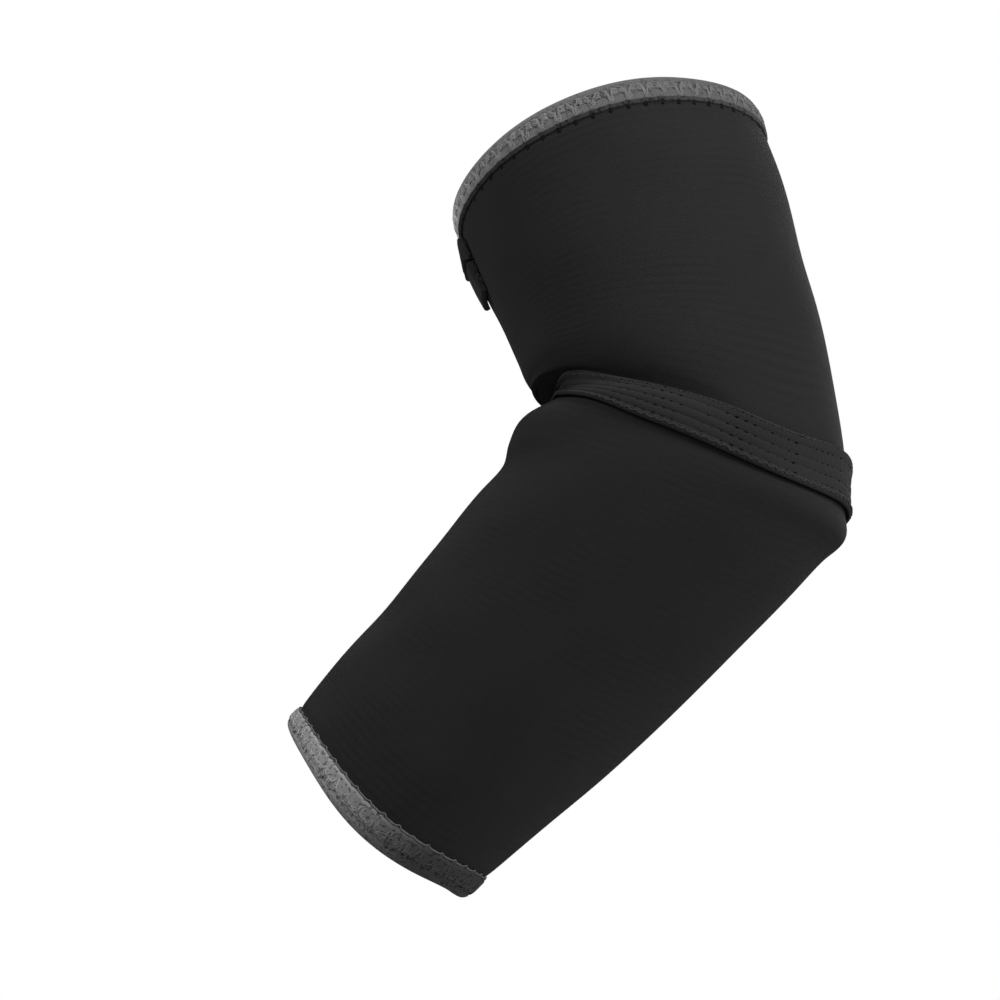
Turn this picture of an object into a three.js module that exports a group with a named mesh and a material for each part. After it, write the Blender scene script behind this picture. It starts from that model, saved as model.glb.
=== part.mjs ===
// Elbow sleeve, in the shape it keeps on a bent arm: an upper arm panel and a forearm panel of
// padded stretch cloth, a ribbed band over the seam round the elbow, a folded binding on each
// rim, and two blank tabs sewn on the front.
// Millimetres, +Z up. The arm bends in the XZ plane, with its crook toward -X and the point of
// the elbow toward +X. The origin is the middle of the elbow, inside the sleeve.
import * as THREE from "three";

// How the arm is bent, in degrees
const UPPER_LEAN = 18; // the upper arm leans this far from upright, toward -X
const FOREARM_DROP = 45; // the forearm falls this far below level, toward -X
const SEAM_SLOPE = 16; // the elbow seam falls this far from the crook to the elbow's point

// Lengths from the middle of the elbow to each rim, and the girth at three places
const UPPER_LENGTH = 96;
const FOREARM_LENGTH = 145.5;
const UPPER_RIM_WIDTH = 97.5;
const UPPER_RIM_DEPTH = 90;
const ELBOW_WIDTH = 92;
const ELBOW_DEPTH = 87;
const FOREARM_RIM_WIDTH = 71.5;
const FOREARM_RIM_DEPTH = 68;

// Cloth and trim
const WALL = 3; // padded cloth
const CLEARANCE = 0.3; // between pieces that lie against each other
const BINDING_WIDTH = 8; // from the fold at the rim to the sewn edge
const BINDING_THICKNESS = 0.8;
const BINDING_TUCK = 0.75; // share of the width that the inner leg reaches
const BINDING_LIP = 1; // the sewn edge thins over this width
const BAND_WIDTH = 12.5;
const BAND_CROOK_WIDTH = 6; // the band narrows to this in the crook
const BAND_THICKNESS = 1;
const RIB_COUNT = 5;
const RIB_HEIGHT = 0.5;
const FOLD_DEPTH = 5; // the deepest fold, beside the band in the crook
const UPPER_RIM_BOW = 3.5; // how much further the upper rim reaches at its two sides
const FOREARM_RIM_BOW = 3;
const FOREARM_BOW_SKEW = 1.6; // how far that bow leans toward the elbow's side of the arm

// The two blank tabs on the front of the upper arm
const TAB_WIDTH = 13;
const TAB_THICKNESS = 0.9; // at the sewn upper end
const UPPER_TAB_FOLD = 2.1; // thickness at the folded lower end
const LOWER_TAB_FOLD = 1.3;
const TAB_INSET = 1; // from the binding to the upper tab
const UPPER_TAB_LENGTH = 9.5;
const LOWER_TAB_LENGTH = 14;
const TAB_SPACING = 0.8;
const TAB_TURN = 12; // degrees from the front of the arm, toward -Y

// How finely the cloth is divided
const AROUND = 48; // facets round the arm
const UPPER_STEPS = 14;
const FOREARM_STEPS = 18;
const SEAM_CROWDING = 0.75; // 0 spaces the steps evenly, 1 crowds them toward the seam
const BAND_STEPS = 4;
const FOLD_STEPS = 6;
const TAB_STEPS = 4;

// Sections of the outer face, from the upper rim to the forearm rim.
// along: share of that arm's length, measured from the middle of the elbow
// rim: 0 where the girth is the elbow's, 1 where it is the rim's
// turn: 0 where the section lies square across the arm, 1 where it lies along the elbow seam
// front, back: shares of the width on the crook's side and on the elbow's side of the arm's line
// deep: share of the depth; egg: how much fuller the front half is than the back half
const SECTIONS = [
  { arm: "upper", along: 1.0, rim: 1.0, turn: 0.01, front: 0.496, back: 0.506, deep: 1.0, egg: 0.0 },
  { arm: "upper", along: 0.77, rim: 0.8, turn: 0.08, front: 0.496, back: 0.51, deep: 1.0, egg: 0.0 },
  { arm: "upper", along: 0.55, rim: 0.1, turn: 0.23, front: 0.498, back: 0.51, deep: 1.02, egg: 0.0 },
  { arm: "upper", along: 0.38, rim: 0.0, turn: 0.35, front: 0.49, back: 0.5, deep: 1.01, egg: 0.02 },
  { arm: "upper", along: 0.2, rim: 0.0, turn: 0.6, front: 0.494, back: 0.48, deep: 1.0, egg: 0.04 },
  { arm: "upper", along: 0.08, rim: 0.0, turn: 0.88, front: 0.545, back: 0.475, deep: 0.99, egg: 0.05 },
  { arm: "fore", along: 0.0, rim: 0.0, turn: 1.0, front: 0.505, back: 0.457, deep: 0.98, egg: 0.05 },
  { arm: "fore", along: 0.07, rim: 0.0, turn: 0.89, front: 0.534, back: 0.542, deep: 0.98, egg: 0.04 },
  { arm: "fore", along: 0.13, rim: 0.0, turn: 0.91, front: 0.518, back: 0.61, deep: 0.98, egg: 0.03 },
  { arm: "fore", along: 0.19, rim: 0.0, turn: 0.92, front: 0.476, back: 0.602, deep: 0.98, egg: 0.02 },
  { arm: "fore", along: 0.28, rim: 0.05, turn: 0.85, front: 0.468, back: 0.594, deep: 0.98, egg: 0.0 },
  { arm: "fore", along: 0.44, rim: 0.25, turn: 0.67, front: 0.46, back: 0.588, deep: 0.98, egg: 0.0 },
  { arm: "fore", along: 0.63, rim: 0.49, turn: 0.49, front: 0.456, back: 0.581, deep: 0.99, egg: 0.0 },
  { arm: "fore", along: 0.81, rim: 0.72, turn: 0.22, front: 0.474, back: 0.551, deep: 1.0, egg: 0.0 },
  { arm: "fore", along: 1.0, rim: 1.0, turn: -0.05, front: 0.481, back: 0.514, deep: 1.0, egg: 0.0 },
];
const SEAM_ROW = 6; // the section that the elbow seam runs along

// How far the seam sags below its section toward the forearm, as a share of the band's width, at
// even steps round the arm in degrees from the elbow's point.
const SEAM_SAG = [
  { around: 0, below: 0.29 },
  { around: 45, below: 0.51 },
  { around: 90, below: 0.235 },
  { around: 135, below: -0.085 },
  { around: 180, below: 0.0 },
];

// Folds pressed into the cloth, the same on both sides of the arm.
// below: place under the seam, as a share of the band's width, less than 0 above it
// rise, fall: how far the fold spreads toward the upper arm and toward the forearm, as the same share
// around, reach: middle and spread round the arm in degrees, where 0 is the elbow's point
// deep: share of the fold depth, less than 0 for a swelling
const FOLDS = [
  { below: -0.65, rise: 0.5, fall: 0.19, around: 146, reach: 34, deep: 1.0 },
  { below: -1.85, rise: 0.6, fall: 0.6, around: 158, reach: 26, deep: -0.22 },
  { below: 0.92, rise: 0.24, fall: 0.42, around: 165, reach: 26, deep: 0.25 },
];

const lerp = THREE.MathUtils.lerp;
const smoothstep = THREE.MathUtils.smoothstep;
const radians = THREE.MathUtils.degToRad;
const DEPTHWISE = new THREE.Vector3(0, 1, 0);

// A direction in the bend plane, turned up from +X by an angle in degrees.
function inBendPlane(degrees) {
  const angle = radians(degrees);
  return new THREE.Vector3(Math.cos(angle), 0, Math.sin(angle));
}

const ARMS = {
  upper: {
    line: inBendPlane(90 + UPPER_LEAN),
    square: UPPER_LEAN,
    length: UPPER_LENGTH,
    rimWidth: UPPER_RIM_WIDTH,
    rimDepth: UPPER_RIM_DEPTH,
  },
  fore: {
    line: inBendPlane(180 + FOREARM_DROP),
    square: -FOREARM_DROP,
    length: FOREARM_LENGTH,
    rimWidth: FOREARM_RIM_WIDTH,
    rimDepth: FOREARM_RIM_DEPTH,
  },
};

// Turns one row of the table into its front and back points and its half depth and egg.
function placeSection(row) {
  const arm = ARMS[row.arm];
  const width = lerp(ELBOW_WIDTH, arm.rimWidth, row.rim);
  const depth = lerp(ELBOW_DEPTH, arm.rimDepth, row.rim) * row.deep;
  const across = inBendPlane(lerp(arm.square, -SEAM_SLOPE, row.turn));
  const middle = arm.line.clone().multiplyScalar(row.along * arm.length);
  return {
    front: middle.clone().addScaledVector(across, -row.front * width),
    back: middle.clone().addScaledVector(across, row.back * width),
    shape: new THREE.Vector3(depth / 2, row.egg, 0),
  };
}

const sections = SECTIONS.map(placeSection);
const smoothLine = (points) => new THREE.CatmullRomCurve3(points, false, "catmullrom");
const frontLine = smoothLine(sections.map((s) => s.front));
const backLine = smoothLine(sections.map((s) => s.back));
const shapeLine = smoothLine(sections.map((s) => s.shape));
const midline = smoothLine(sections.map((s) => s.front.clone().lerp(s.back, 0.5)));

// Distances run along the midline from the upper rim, so that the pieces share one measure.
const STEPS_PER_SECTION = 16;
midline.arcLengthDivisions = STEPS_PER_SECTION * (SECTIONS.length - 1);
const SLEEVE_LENGTH = midline.getLength();
const SEAM_SECTION = midline.getLengths()[SEAM_ROW * STEPS_PER_SECTION];

// An angle round the arm as 0 at the elbow's point to pi at the crook, the same on both sides.
function turnedFromElbow(angle) {
  return Math.abs(THREE.MathUtils.euclideanModulo(angle + Math.PI, 2 * Math.PI) - Math.PI);
}

// The distance along the sleeve at which the seam crosses an angle round the arm.
// The table's second row and its last but one repeat past its ends, so that both ends lie level.
const sagRows = [SEAM_SAG[1], ...SEAM_SAG, SEAM_SAG.at(-2)];
const sagLine = smoothLine(sagRows.map((row) => new THREE.Vector3(row.below * BAND_WIDTH, 0, 0)));
function seamAt(angle) {
  const row = (turnedFromElbow(angle) / Math.PI) * (SEAM_SAG.length - 1);
  return SEAM_SECTION + sagLine.getPoint((row + 1) / (sagRows.length - 1)).x;
}

// The depth of the folds at a distance along the sleeve and an angle round it.
function foldDepth(distance, angle) {
  const turned = turnedFromElbow(angle);
  const seam = seamAt(angle);
  let depth = 0;
  for (const fold of FOLDS) {
    const past = (distance - seam) / BAND_WIDTH - fold.below;
    const spread = past < 0 ? fold.rise : fold.fall;
    const aside = (turned - radians(fold.around)) / radians(fold.reach);
    depth += fold.deep * FOLD_DEPTH * Math.exp(-((past / spread) ** 2) - aside ** 2);
  }
  return depth;
}

// A point of the cloth's outer face before the folds are pressed in.
function plainFace(distance, angle) {
  const t = midline.getUtoTmapping(0, THREE.MathUtils.clamp(distance, 0, SLEEVE_LENGTH));
  const front = frontLine.getPoint(t);
  const back = backLine.getPoint(t);
  const shape = shapeLine.getPoint(t);
  const side = shape.x * Math.sin(angle) * (1 - shape.y * Math.cos(angle));
  return front.lerp(back, (1 + Math.cos(angle)) / 2).addScaledVector(DEPTHWISE, side);
}

// The outward direction of a face at one place, from two short steps over it.
function outwardOf(face, distance, angle) {
  const step = 0.4;
  const turn = 0.01;
  const lengthwise = face(distance + step, angle).sub(face(distance - step, angle));
  const round = face(distance, angle + turn).sub(face(distance, angle - turn));
  return lengthwise.cross(round).normalize();
}

// The outer face with its folds.
function outerFace(distance, angle) {
  const outward = outwardOf(plainFace, distance, angle);
  return plainFace(distance, angle).addScaledVector(outward, -foldDepth(distance, angle));
}

// A point at a distance along the sleeve, an angle round it and a height off the outer face.
// The bows of the two rims stretch the sleeve a little along its sides.
function onSleeve(distance, angle, height) {
  const toUpperRim = Math.max(0, 1 - distance / SEAM_SECTION);
  const toForearmRim = Math.max(0, (distance - SEAM_SECTION) / (SLEEVE_LENGTH - SEAM_SECTION));
  const aside = Math.sin(angle) ** 2;
  const skewed = aside * (1 + FOREARM_BOW_SKEW * Math.cos(angle));
  const point = outerFace(distance, angle);
  point.addScaledVector(outwardOf(outerFace, distance, angle), height);
  point.addScaledVector(ARMS.upper.line, UPPER_RIM_BOW * aside * toUpperRim ** 2);
  return point.addScaledVector(ARMS.fore.line, FOREARM_RIM_BOW * skewed * toForearmRim ** 2);
}

// A closed solid from a grid of points. Each row closes on itself. The rows either follow each
// other round a ring, or end in two flat ends, each a strip between the halves of its row.
function solidFromGrid(rows, hasEnds) {
  const across = rows[0].length;
  const points = rows.flat();
  const triangles = [];
  const last = hasEnds ? rows.length - 1 : rows.length;
  for (let i = 0; i < last; i++) {
    for (let j = 0; j < across; j++) {
      const a = i * across + j;
      const b = i * across + ((j + 1) % across);
      const c = ((i + 1) % rows.length) * across + j;
      const d = ((i + 1) % rows.length) * across + ((j + 1) % across);
      triangles.push(a, b, c, b, d, c);
    }
  }
  if (hasEnds) {
    const end = (rows.length - 1) * across;
    for (let j = 0; j < across / 2 - 1; j++) {
      const [a, b, c, d] = [j, j + 1, across - 1 - j, across - 2 - j];
      triangles.push(a, c, d, a, d, b);
      triangles.push(end + a, end + d, end + c, end + a, end + b, end + d);
    }
  }
  const geometry = new THREE.BufferGeometry().setFromPoints(points);
  geometry.setIndex(triangles);
  geometry.computeVertexNormals();
  return geometry;
}

// A ring round the arm, swept from a closed outline of places { at, height }.
function ringSolid(outlineAt) {
  const rows = [];
  for (let i = 0; i < AROUND; i++) {
    const angle = (2 * Math.PI * i) / AROUND;
    rows.push(outlineAt(angle).map(({ at, height }) => onSleeve(at, angle, height)));
  }
  return solidFromGrid(rows, false);
}

// Places from one distance to another, set closer together toward the seam.
function placesToward(seamEnd, rimEnd, count) {
  const places = [];
  for (let i = 0; i <= count; i++) {
    const share = i / count;
    places.push(lerp(seamEnd, rimEnd, lerp(share, share ** 2, SEAM_CROWDING)));
  }
  return places;
}

// A panel's wall between the seam, which it stops a little short of, and the edge at its rim.
function panelGeometry(fromSeam, rimEnd, count) {
  return ringSolid((angle) => {
    const places = placesToward(seamAt(angle) + fromSeam, rimEnd, count);
    const outer = places.map((at) => ({ at, height: 0 }));
    const inner = places.toReversed().map((at) => ({ at, height: -WALL }));
    const outline = [...outer, ...inner];
    return fromSeam < 0 ? outline.toReversed() : outline;
  });
}

// How far the binding's fold stands past the edge of the cloth that it covers.
const FOLD_RADIUS = WALL / 2 + CLEARANCE + BINDING_THICKNESS;
const FOLD_SLACK = 0.6; // between the cloth's edge and the middle of the fold's curve
const EDGE_INSET = FOLD_RADIUS - FOLD_SLACK;

// The folded tape over a rim: its outline goes round the fold, then back inside it.
function bindingGeometry(rim, into) {
  const outside = CLEARANCE + BINDING_THICKNESS;
  const inside = -WALL - outside;
  const tuck = BINDING_WIDTH * BINDING_TUCK;
  const outline = [
    { from: BINDING_WIDTH, height: CLEARANCE + BINDING_THICKNESS / 2 },
    { from: BINDING_WIDTH - BINDING_LIP, height: outside },
  ];
  for (let i = 0; i <= FOLD_STEPS; i++) {
    const angle = (Math.PI * i) / FOLD_STEPS;
    outline.push({
      from: FOLD_RADIUS - FOLD_RADIUS * Math.sin(angle),
      height: FOLD_RADIUS * Math.cos(angle) - WALL / 2,
    });
  }
  outline.push(
    { from: tuck, height: inside },
    { from: tuck, height: -WALL - CLEARANCE },
    { from: EDGE_INSET - CLEARANCE, height: -WALL - CLEARANCE },
    { from: EDGE_INSET - CLEARANCE, height: CLEARANCE },
    { from: BINDING_WIDTH, height: CLEARANCE },
  );
  const places = outline.map(({ from, height }) => ({ at: rim + into * from, height }));
  return ringSolid(() => (into > 0 ? places.toReversed() : places));
}

// The band's width as it goes round: full as far as the arm's side, narrow in the crook.
const TAPER_START = radians(85);
const TAPER_END = radians(150);
function bandWidthAt(angle) {
  const toCrook = smoothstep(turnedFromElbow(angle), TAPER_START, TAPER_END);
  return lerp(BAND_WIDTH, BAND_CROOK_WIDTH, toCrook);
}

// The ribbed band that covers the seam.
function bandGeometry() {
  return ringSolid((angle) => {
    const width = bandWidthAt(angle);
    const seam = seamAt(angle);
    const outline = [];
    for (let i = 0; i <= 2 * RIB_COUNT; i++) {
      const share = i / (2 * RIB_COUNT);
      const rib = i % 2 ? RIB_HEIGHT : 0;
      outline.push({ at: seam + width * (share - 0.5), height: CLEARANCE + BAND_THICKNESS + rib });
    }
    for (let i = 0; i <= BAND_STEPS; i++) {
      outline.push({ at: seam + width * (0.5 - i / BAND_STEPS), height: CLEARANCE });
    }
    return outline;
  });
}

// A tab of folded tape, sewn flat along its upper end and thicker at the fold.
function tabGeometry(start, length, foldThickness) {
  const halfTurn = Math.asin(TAB_WIDTH / UPPER_RIM_DEPTH);
  const middle = Math.PI + radians(TAB_TURN);
  const rows = [];
  for (let i = 0; i <= TAB_STEPS; i++) {
    const share = i / TAB_STEPS;
    const thickness = lerp(TAB_THICKNESS, foldThickness, share);
    const row = [];
    for (let j = 0; j <= TAB_STEPS; j++) {
      const angle = middle + halfTurn * ((2 * j) / TAB_STEPS - 1);
      row.push(onSleeve(start + length * share, angle, CLEARANCE));
    }
    for (let j = TAB_STEPS; j >= 0; j--) {
      const angle = middle + halfTurn * ((2 * j) / TAB_STEPS - 1);
      row.push(onSleeve(start + length * share, angle, CLEARANCE + thickness));
    }
    rows.push(row);
  }
  return solidFromGrid(rows, true);
}

const stretchCloth = new THREE.MeshStandardMaterial({ color: 0x262627, roughness: 0.88, metalness: 0 });
const bandCloth = new THREE.MeshStandardMaterial({ color: 0x2b2b2c, roughness: 0.82, metalness: 0 });
const bindingTape = new THREE.MeshStandardMaterial({ color: 0x6f6f71, roughness: 0.85, metalness: 0 });
const tabTape = new THREE.MeshStandardMaterial({ color: 0x1f1f20, roughness: 0.7, metalness: 0 });

function piece(name, geometry, material) {
  const mesh = new THREE.Mesh(geometry, material);
  mesh.name = name;
  return mesh;
}

const forearmEdge = SLEEVE_LENGTH - EDGE_INSET;
const upperTabStart = BINDING_WIDTH + TAB_INSET;
const lowerTabStart = upperTabStart + UPPER_TAB_LENGTH + TAB_SPACING;

const sleeve = new THREE.Group();
sleeve.add(
  piece("upper_panel", panelGeometry(-CLEARANCE / 2, EDGE_INSET, UPPER_STEPS), stretchCloth),
  piece("forearm_panel", panelGeometry(CLEARANCE / 2, forearmEdge, FOREARM_STEPS), stretchCloth),
  piece("elbow_band", bandGeometry(), bandCloth),
  piece("upper_binding", bindingGeometry(0, 1), bindingTape),
  piece("forearm_binding", bindingGeometry(SLEEVE_LENGTH, -1), bindingTape),
  piece("upper_tab", tabGeometry(upperTabStart, UPPER_TAB_LENGTH, UPPER_TAB_FOLD), tabTape),
  piece("lower_tab", tabGeometry(lowerTabStart, LOWER_TAB_LENGTH, LOWER_TAB_FOLD), tabTape),
);

export default sleeve;
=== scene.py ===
"""Visual model of a padded elbow sleeve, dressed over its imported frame.

Sizes are millimetres and become metres where a mesh is made. +Z is up, the crook is toward -X and
the point of the elbow toward +X. Angles run round the arm: 0 at the elbow's point, pi at the
crook. Distances run along the sleeve's middle line from the upper rim.
"""

import logging
import math
from dataclasses import dataclass, field, replace
from enum import Enum
from typing import Any, Callable

import bpy
import numpy as np
from mathutils import Matrix, Vector


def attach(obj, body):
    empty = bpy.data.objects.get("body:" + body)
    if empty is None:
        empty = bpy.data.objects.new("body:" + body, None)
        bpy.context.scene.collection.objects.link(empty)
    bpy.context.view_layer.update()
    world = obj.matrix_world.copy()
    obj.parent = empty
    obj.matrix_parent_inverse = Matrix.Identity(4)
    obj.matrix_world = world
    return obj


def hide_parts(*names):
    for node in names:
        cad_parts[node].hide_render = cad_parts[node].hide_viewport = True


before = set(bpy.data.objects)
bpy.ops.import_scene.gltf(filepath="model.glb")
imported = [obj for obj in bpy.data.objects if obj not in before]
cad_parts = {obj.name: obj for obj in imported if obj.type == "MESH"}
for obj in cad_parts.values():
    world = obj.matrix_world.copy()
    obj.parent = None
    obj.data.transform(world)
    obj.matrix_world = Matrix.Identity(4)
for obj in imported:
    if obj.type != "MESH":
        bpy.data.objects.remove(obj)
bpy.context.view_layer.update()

log = logging.getLogger("sleeve")

MM = 0.001
DEPTHWISE = np.array([0.0, 1.0, 0.0])


class Arm(Enum):
    """The two halves of the bent arm."""

    UPPER = "upper"
    FORE = "fore"


class Rim(Enum):
    """The two open ends of the sleeve, with the sign of the way into the sleeve."""

    UPPER = 1
    FOREARM = -1


@dataclass(frozen=True)
class ArmLine:
    """One half of the arm: its direction and square section in degrees, and sizes at its rim."""

    direction: float
    square: float
    length: float
    rim_width: float
    rim_depth: float

    @property
    def line(self) -> np.ndarray:
        """The unit direction from the elbow to the rim."""
        return in_bend_plane(self.direction)


@dataclass(frozen=True)
class Section:
    """One section of the sleeve's outer face.

    along is a share of that half's length from the elbow's middle. rim is 0 at the elbow's girth
    and 1 at the rim's. turn is 0 square across the arm and 1 along the elbow seam. front and back
    are shares of the width, deep of the depth, and egg fills the front half.
    """

    arm: Arm
    along: float
    rim: float
    turn: float
    front: float
    back: float
    deep: float
    egg: float


@dataclass(frozen=True)
class Fold:
    """A fold pushed into the cloth, the same on both sides of the arm.

    below is its place under the seam, and rise and fall its spread, as shares of the band's width.
    around and reach are degrees from the elbow's point, and deep is a share of the fold depth. A
    fold by the band keeps its place from the band's upper edge instead of from the seam.
    """

    below: float
    rise: float
    fall: float
    around: float
    reach: float
    deep: float
    by_band: bool = False


SECTIONS = (
    Section(Arm.UPPER, along=1.0, rim=1.0, turn=0.01, front=0.496, back=0.506, deep=1.0, egg=0.0),
    Section(Arm.UPPER, along=0.77, rim=0.8, turn=0.08, front=0.496, back=0.51, deep=1.0, egg=0.0),
    Section(Arm.UPPER, along=0.55, rim=0.1, turn=0.23, front=0.498, back=0.51, deep=1.02, egg=0.0),
    Section(Arm.UPPER, along=0.38, rim=0.0, turn=0.35, front=0.49, back=0.5, deep=1.01, egg=0.02),
    Section(Arm.UPPER, along=0.2, rim=0.0, turn=0.6, front=0.494, back=0.48, deep=1.0, egg=0.04),
    Section(Arm.UPPER, along=0.08, rim=0.0, turn=0.88, front=0.545, back=0.475, deep=0.99, egg=0.05),
    Section(Arm.FORE, along=0.0, rim=0.0, turn=1.0, front=0.505, back=0.457, deep=0.98, egg=0.05),
    Section(Arm.FORE, along=0.07, rim=0.0, turn=0.89, front=0.534, back=0.542, deep=0.98, egg=0.04),
    Section(Arm.FORE, along=0.13, rim=0.0, turn=0.91, front=0.518, back=0.61, deep=0.98, egg=0.03),
    Section(Arm.FORE, along=0.19, rim=0.0, turn=0.92, front=0.476, back=0.602, deep=0.98, egg=0.02),
    Section(Arm.FORE, along=0.28, rim=0.05, turn=0.85, front=0.468, back=0.594, deep=0.98, egg=0.0),
    Section(Arm.FORE, along=0.44, rim=0.25, turn=0.67, front=0.46, back=0.588, deep=0.98, egg=0.0),
    Section(Arm.FORE, along=0.63, rim=0.49, turn=0.49, front=0.456, back=0.581, deep=0.99, egg=0.0),
    Section(Arm.FORE, along=0.81, rim=0.72, turn=0.22, front=0.474, back=0.551, deep=1.0, egg=0.0),
    Section(Arm.FORE, along=1.0, rim=1.0, turn=-0.05, front=0.481, back=0.514, deep=1.0, egg=0.0),
)

FOLDS = (
    Fold(below=-0.05, rise=0.82, fall=0.3, around=128, reach=36, deep=0.62, by_band=True),
    Fold(below=-1.85, rise=0.6, fall=0.6, around=158, reach=26, deep=-0.22),
    Fold(below=0.92, rise=0.24, fall=0.42, around=172, reach=26, deep=-0.15),
    Fold(below=0.0, rise=0.7, fall=0.5, around=180, reach=30, deep=0.14),
    Fold(below=-0.03, rise=0.5, fall=0.3, around=84, reach=22, deep=0.28, by_band=True),
    Fold(below=-1.9, rise=0.9, fall=0.8, around=92, reach=40, deep=-0.08),
)


def in_bend_plane(degrees: float) -> np.ndarray:
    """A unit direction in the bend plane, turned up from +X by an angle in degrees."""
    angle = math.radians(degrees)
    return np.array([math.cos(angle), 0.0, math.sin(angle)])


def lerp(start: Any, end: Any, share: Any) -> Any:
    """The value a share of the way from start to end."""
    return start + (end - start) * share


def smoothstep(low: float, high: float, value: np.ndarray) -> np.ndarray:
    """0 below low, 1 above high, and a smooth rise between them."""
    share = np.clip((value - low) / (high - low), 0.0, 1.0)
    return share * share * (3 - 2 * share)


def hump(value: np.ndarray, spread: float) -> np.ndarray:
    """A smooth hump, 1 at zero and nearly 0 past twice its spread."""
    return np.exp(-((value / spread) ** 2))


def smooth_line(points: np.ndarray, share: np.ndarray) -> np.ndarray:
    """Places on a Catmull-Rom line through some points.

    Args:
        points: one row for each point.
        share: shares of the line's points from 0 to 1, in any shape.

    Returns:
        The places, with the points' columns as their last axis.
    """
    first, last = 2 * points[0] - points[1], 2 * points[-1] - points[-2]
    padded = np.vstack([first, points, last])
    place = np.clip(share, 0.0, 1.0) * (len(points) - 1)
    index = np.minimum(place.astype(int), len(points) - 2)
    part = (place - index)[..., None]
    before, start, end, after = (padded[index + step] for step in range(4))
    leave, arrive = (end - before) / 2, (after - start) / 2
    return (
        (2 * part**3 - 3 * part**2 + 1) * start
        + (part**3 - 2 * part**2 + part) * leave
        + (3 * part**2 - 2 * part**3) * end
        + (part**3 - part**2) * arrive
    )


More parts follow.
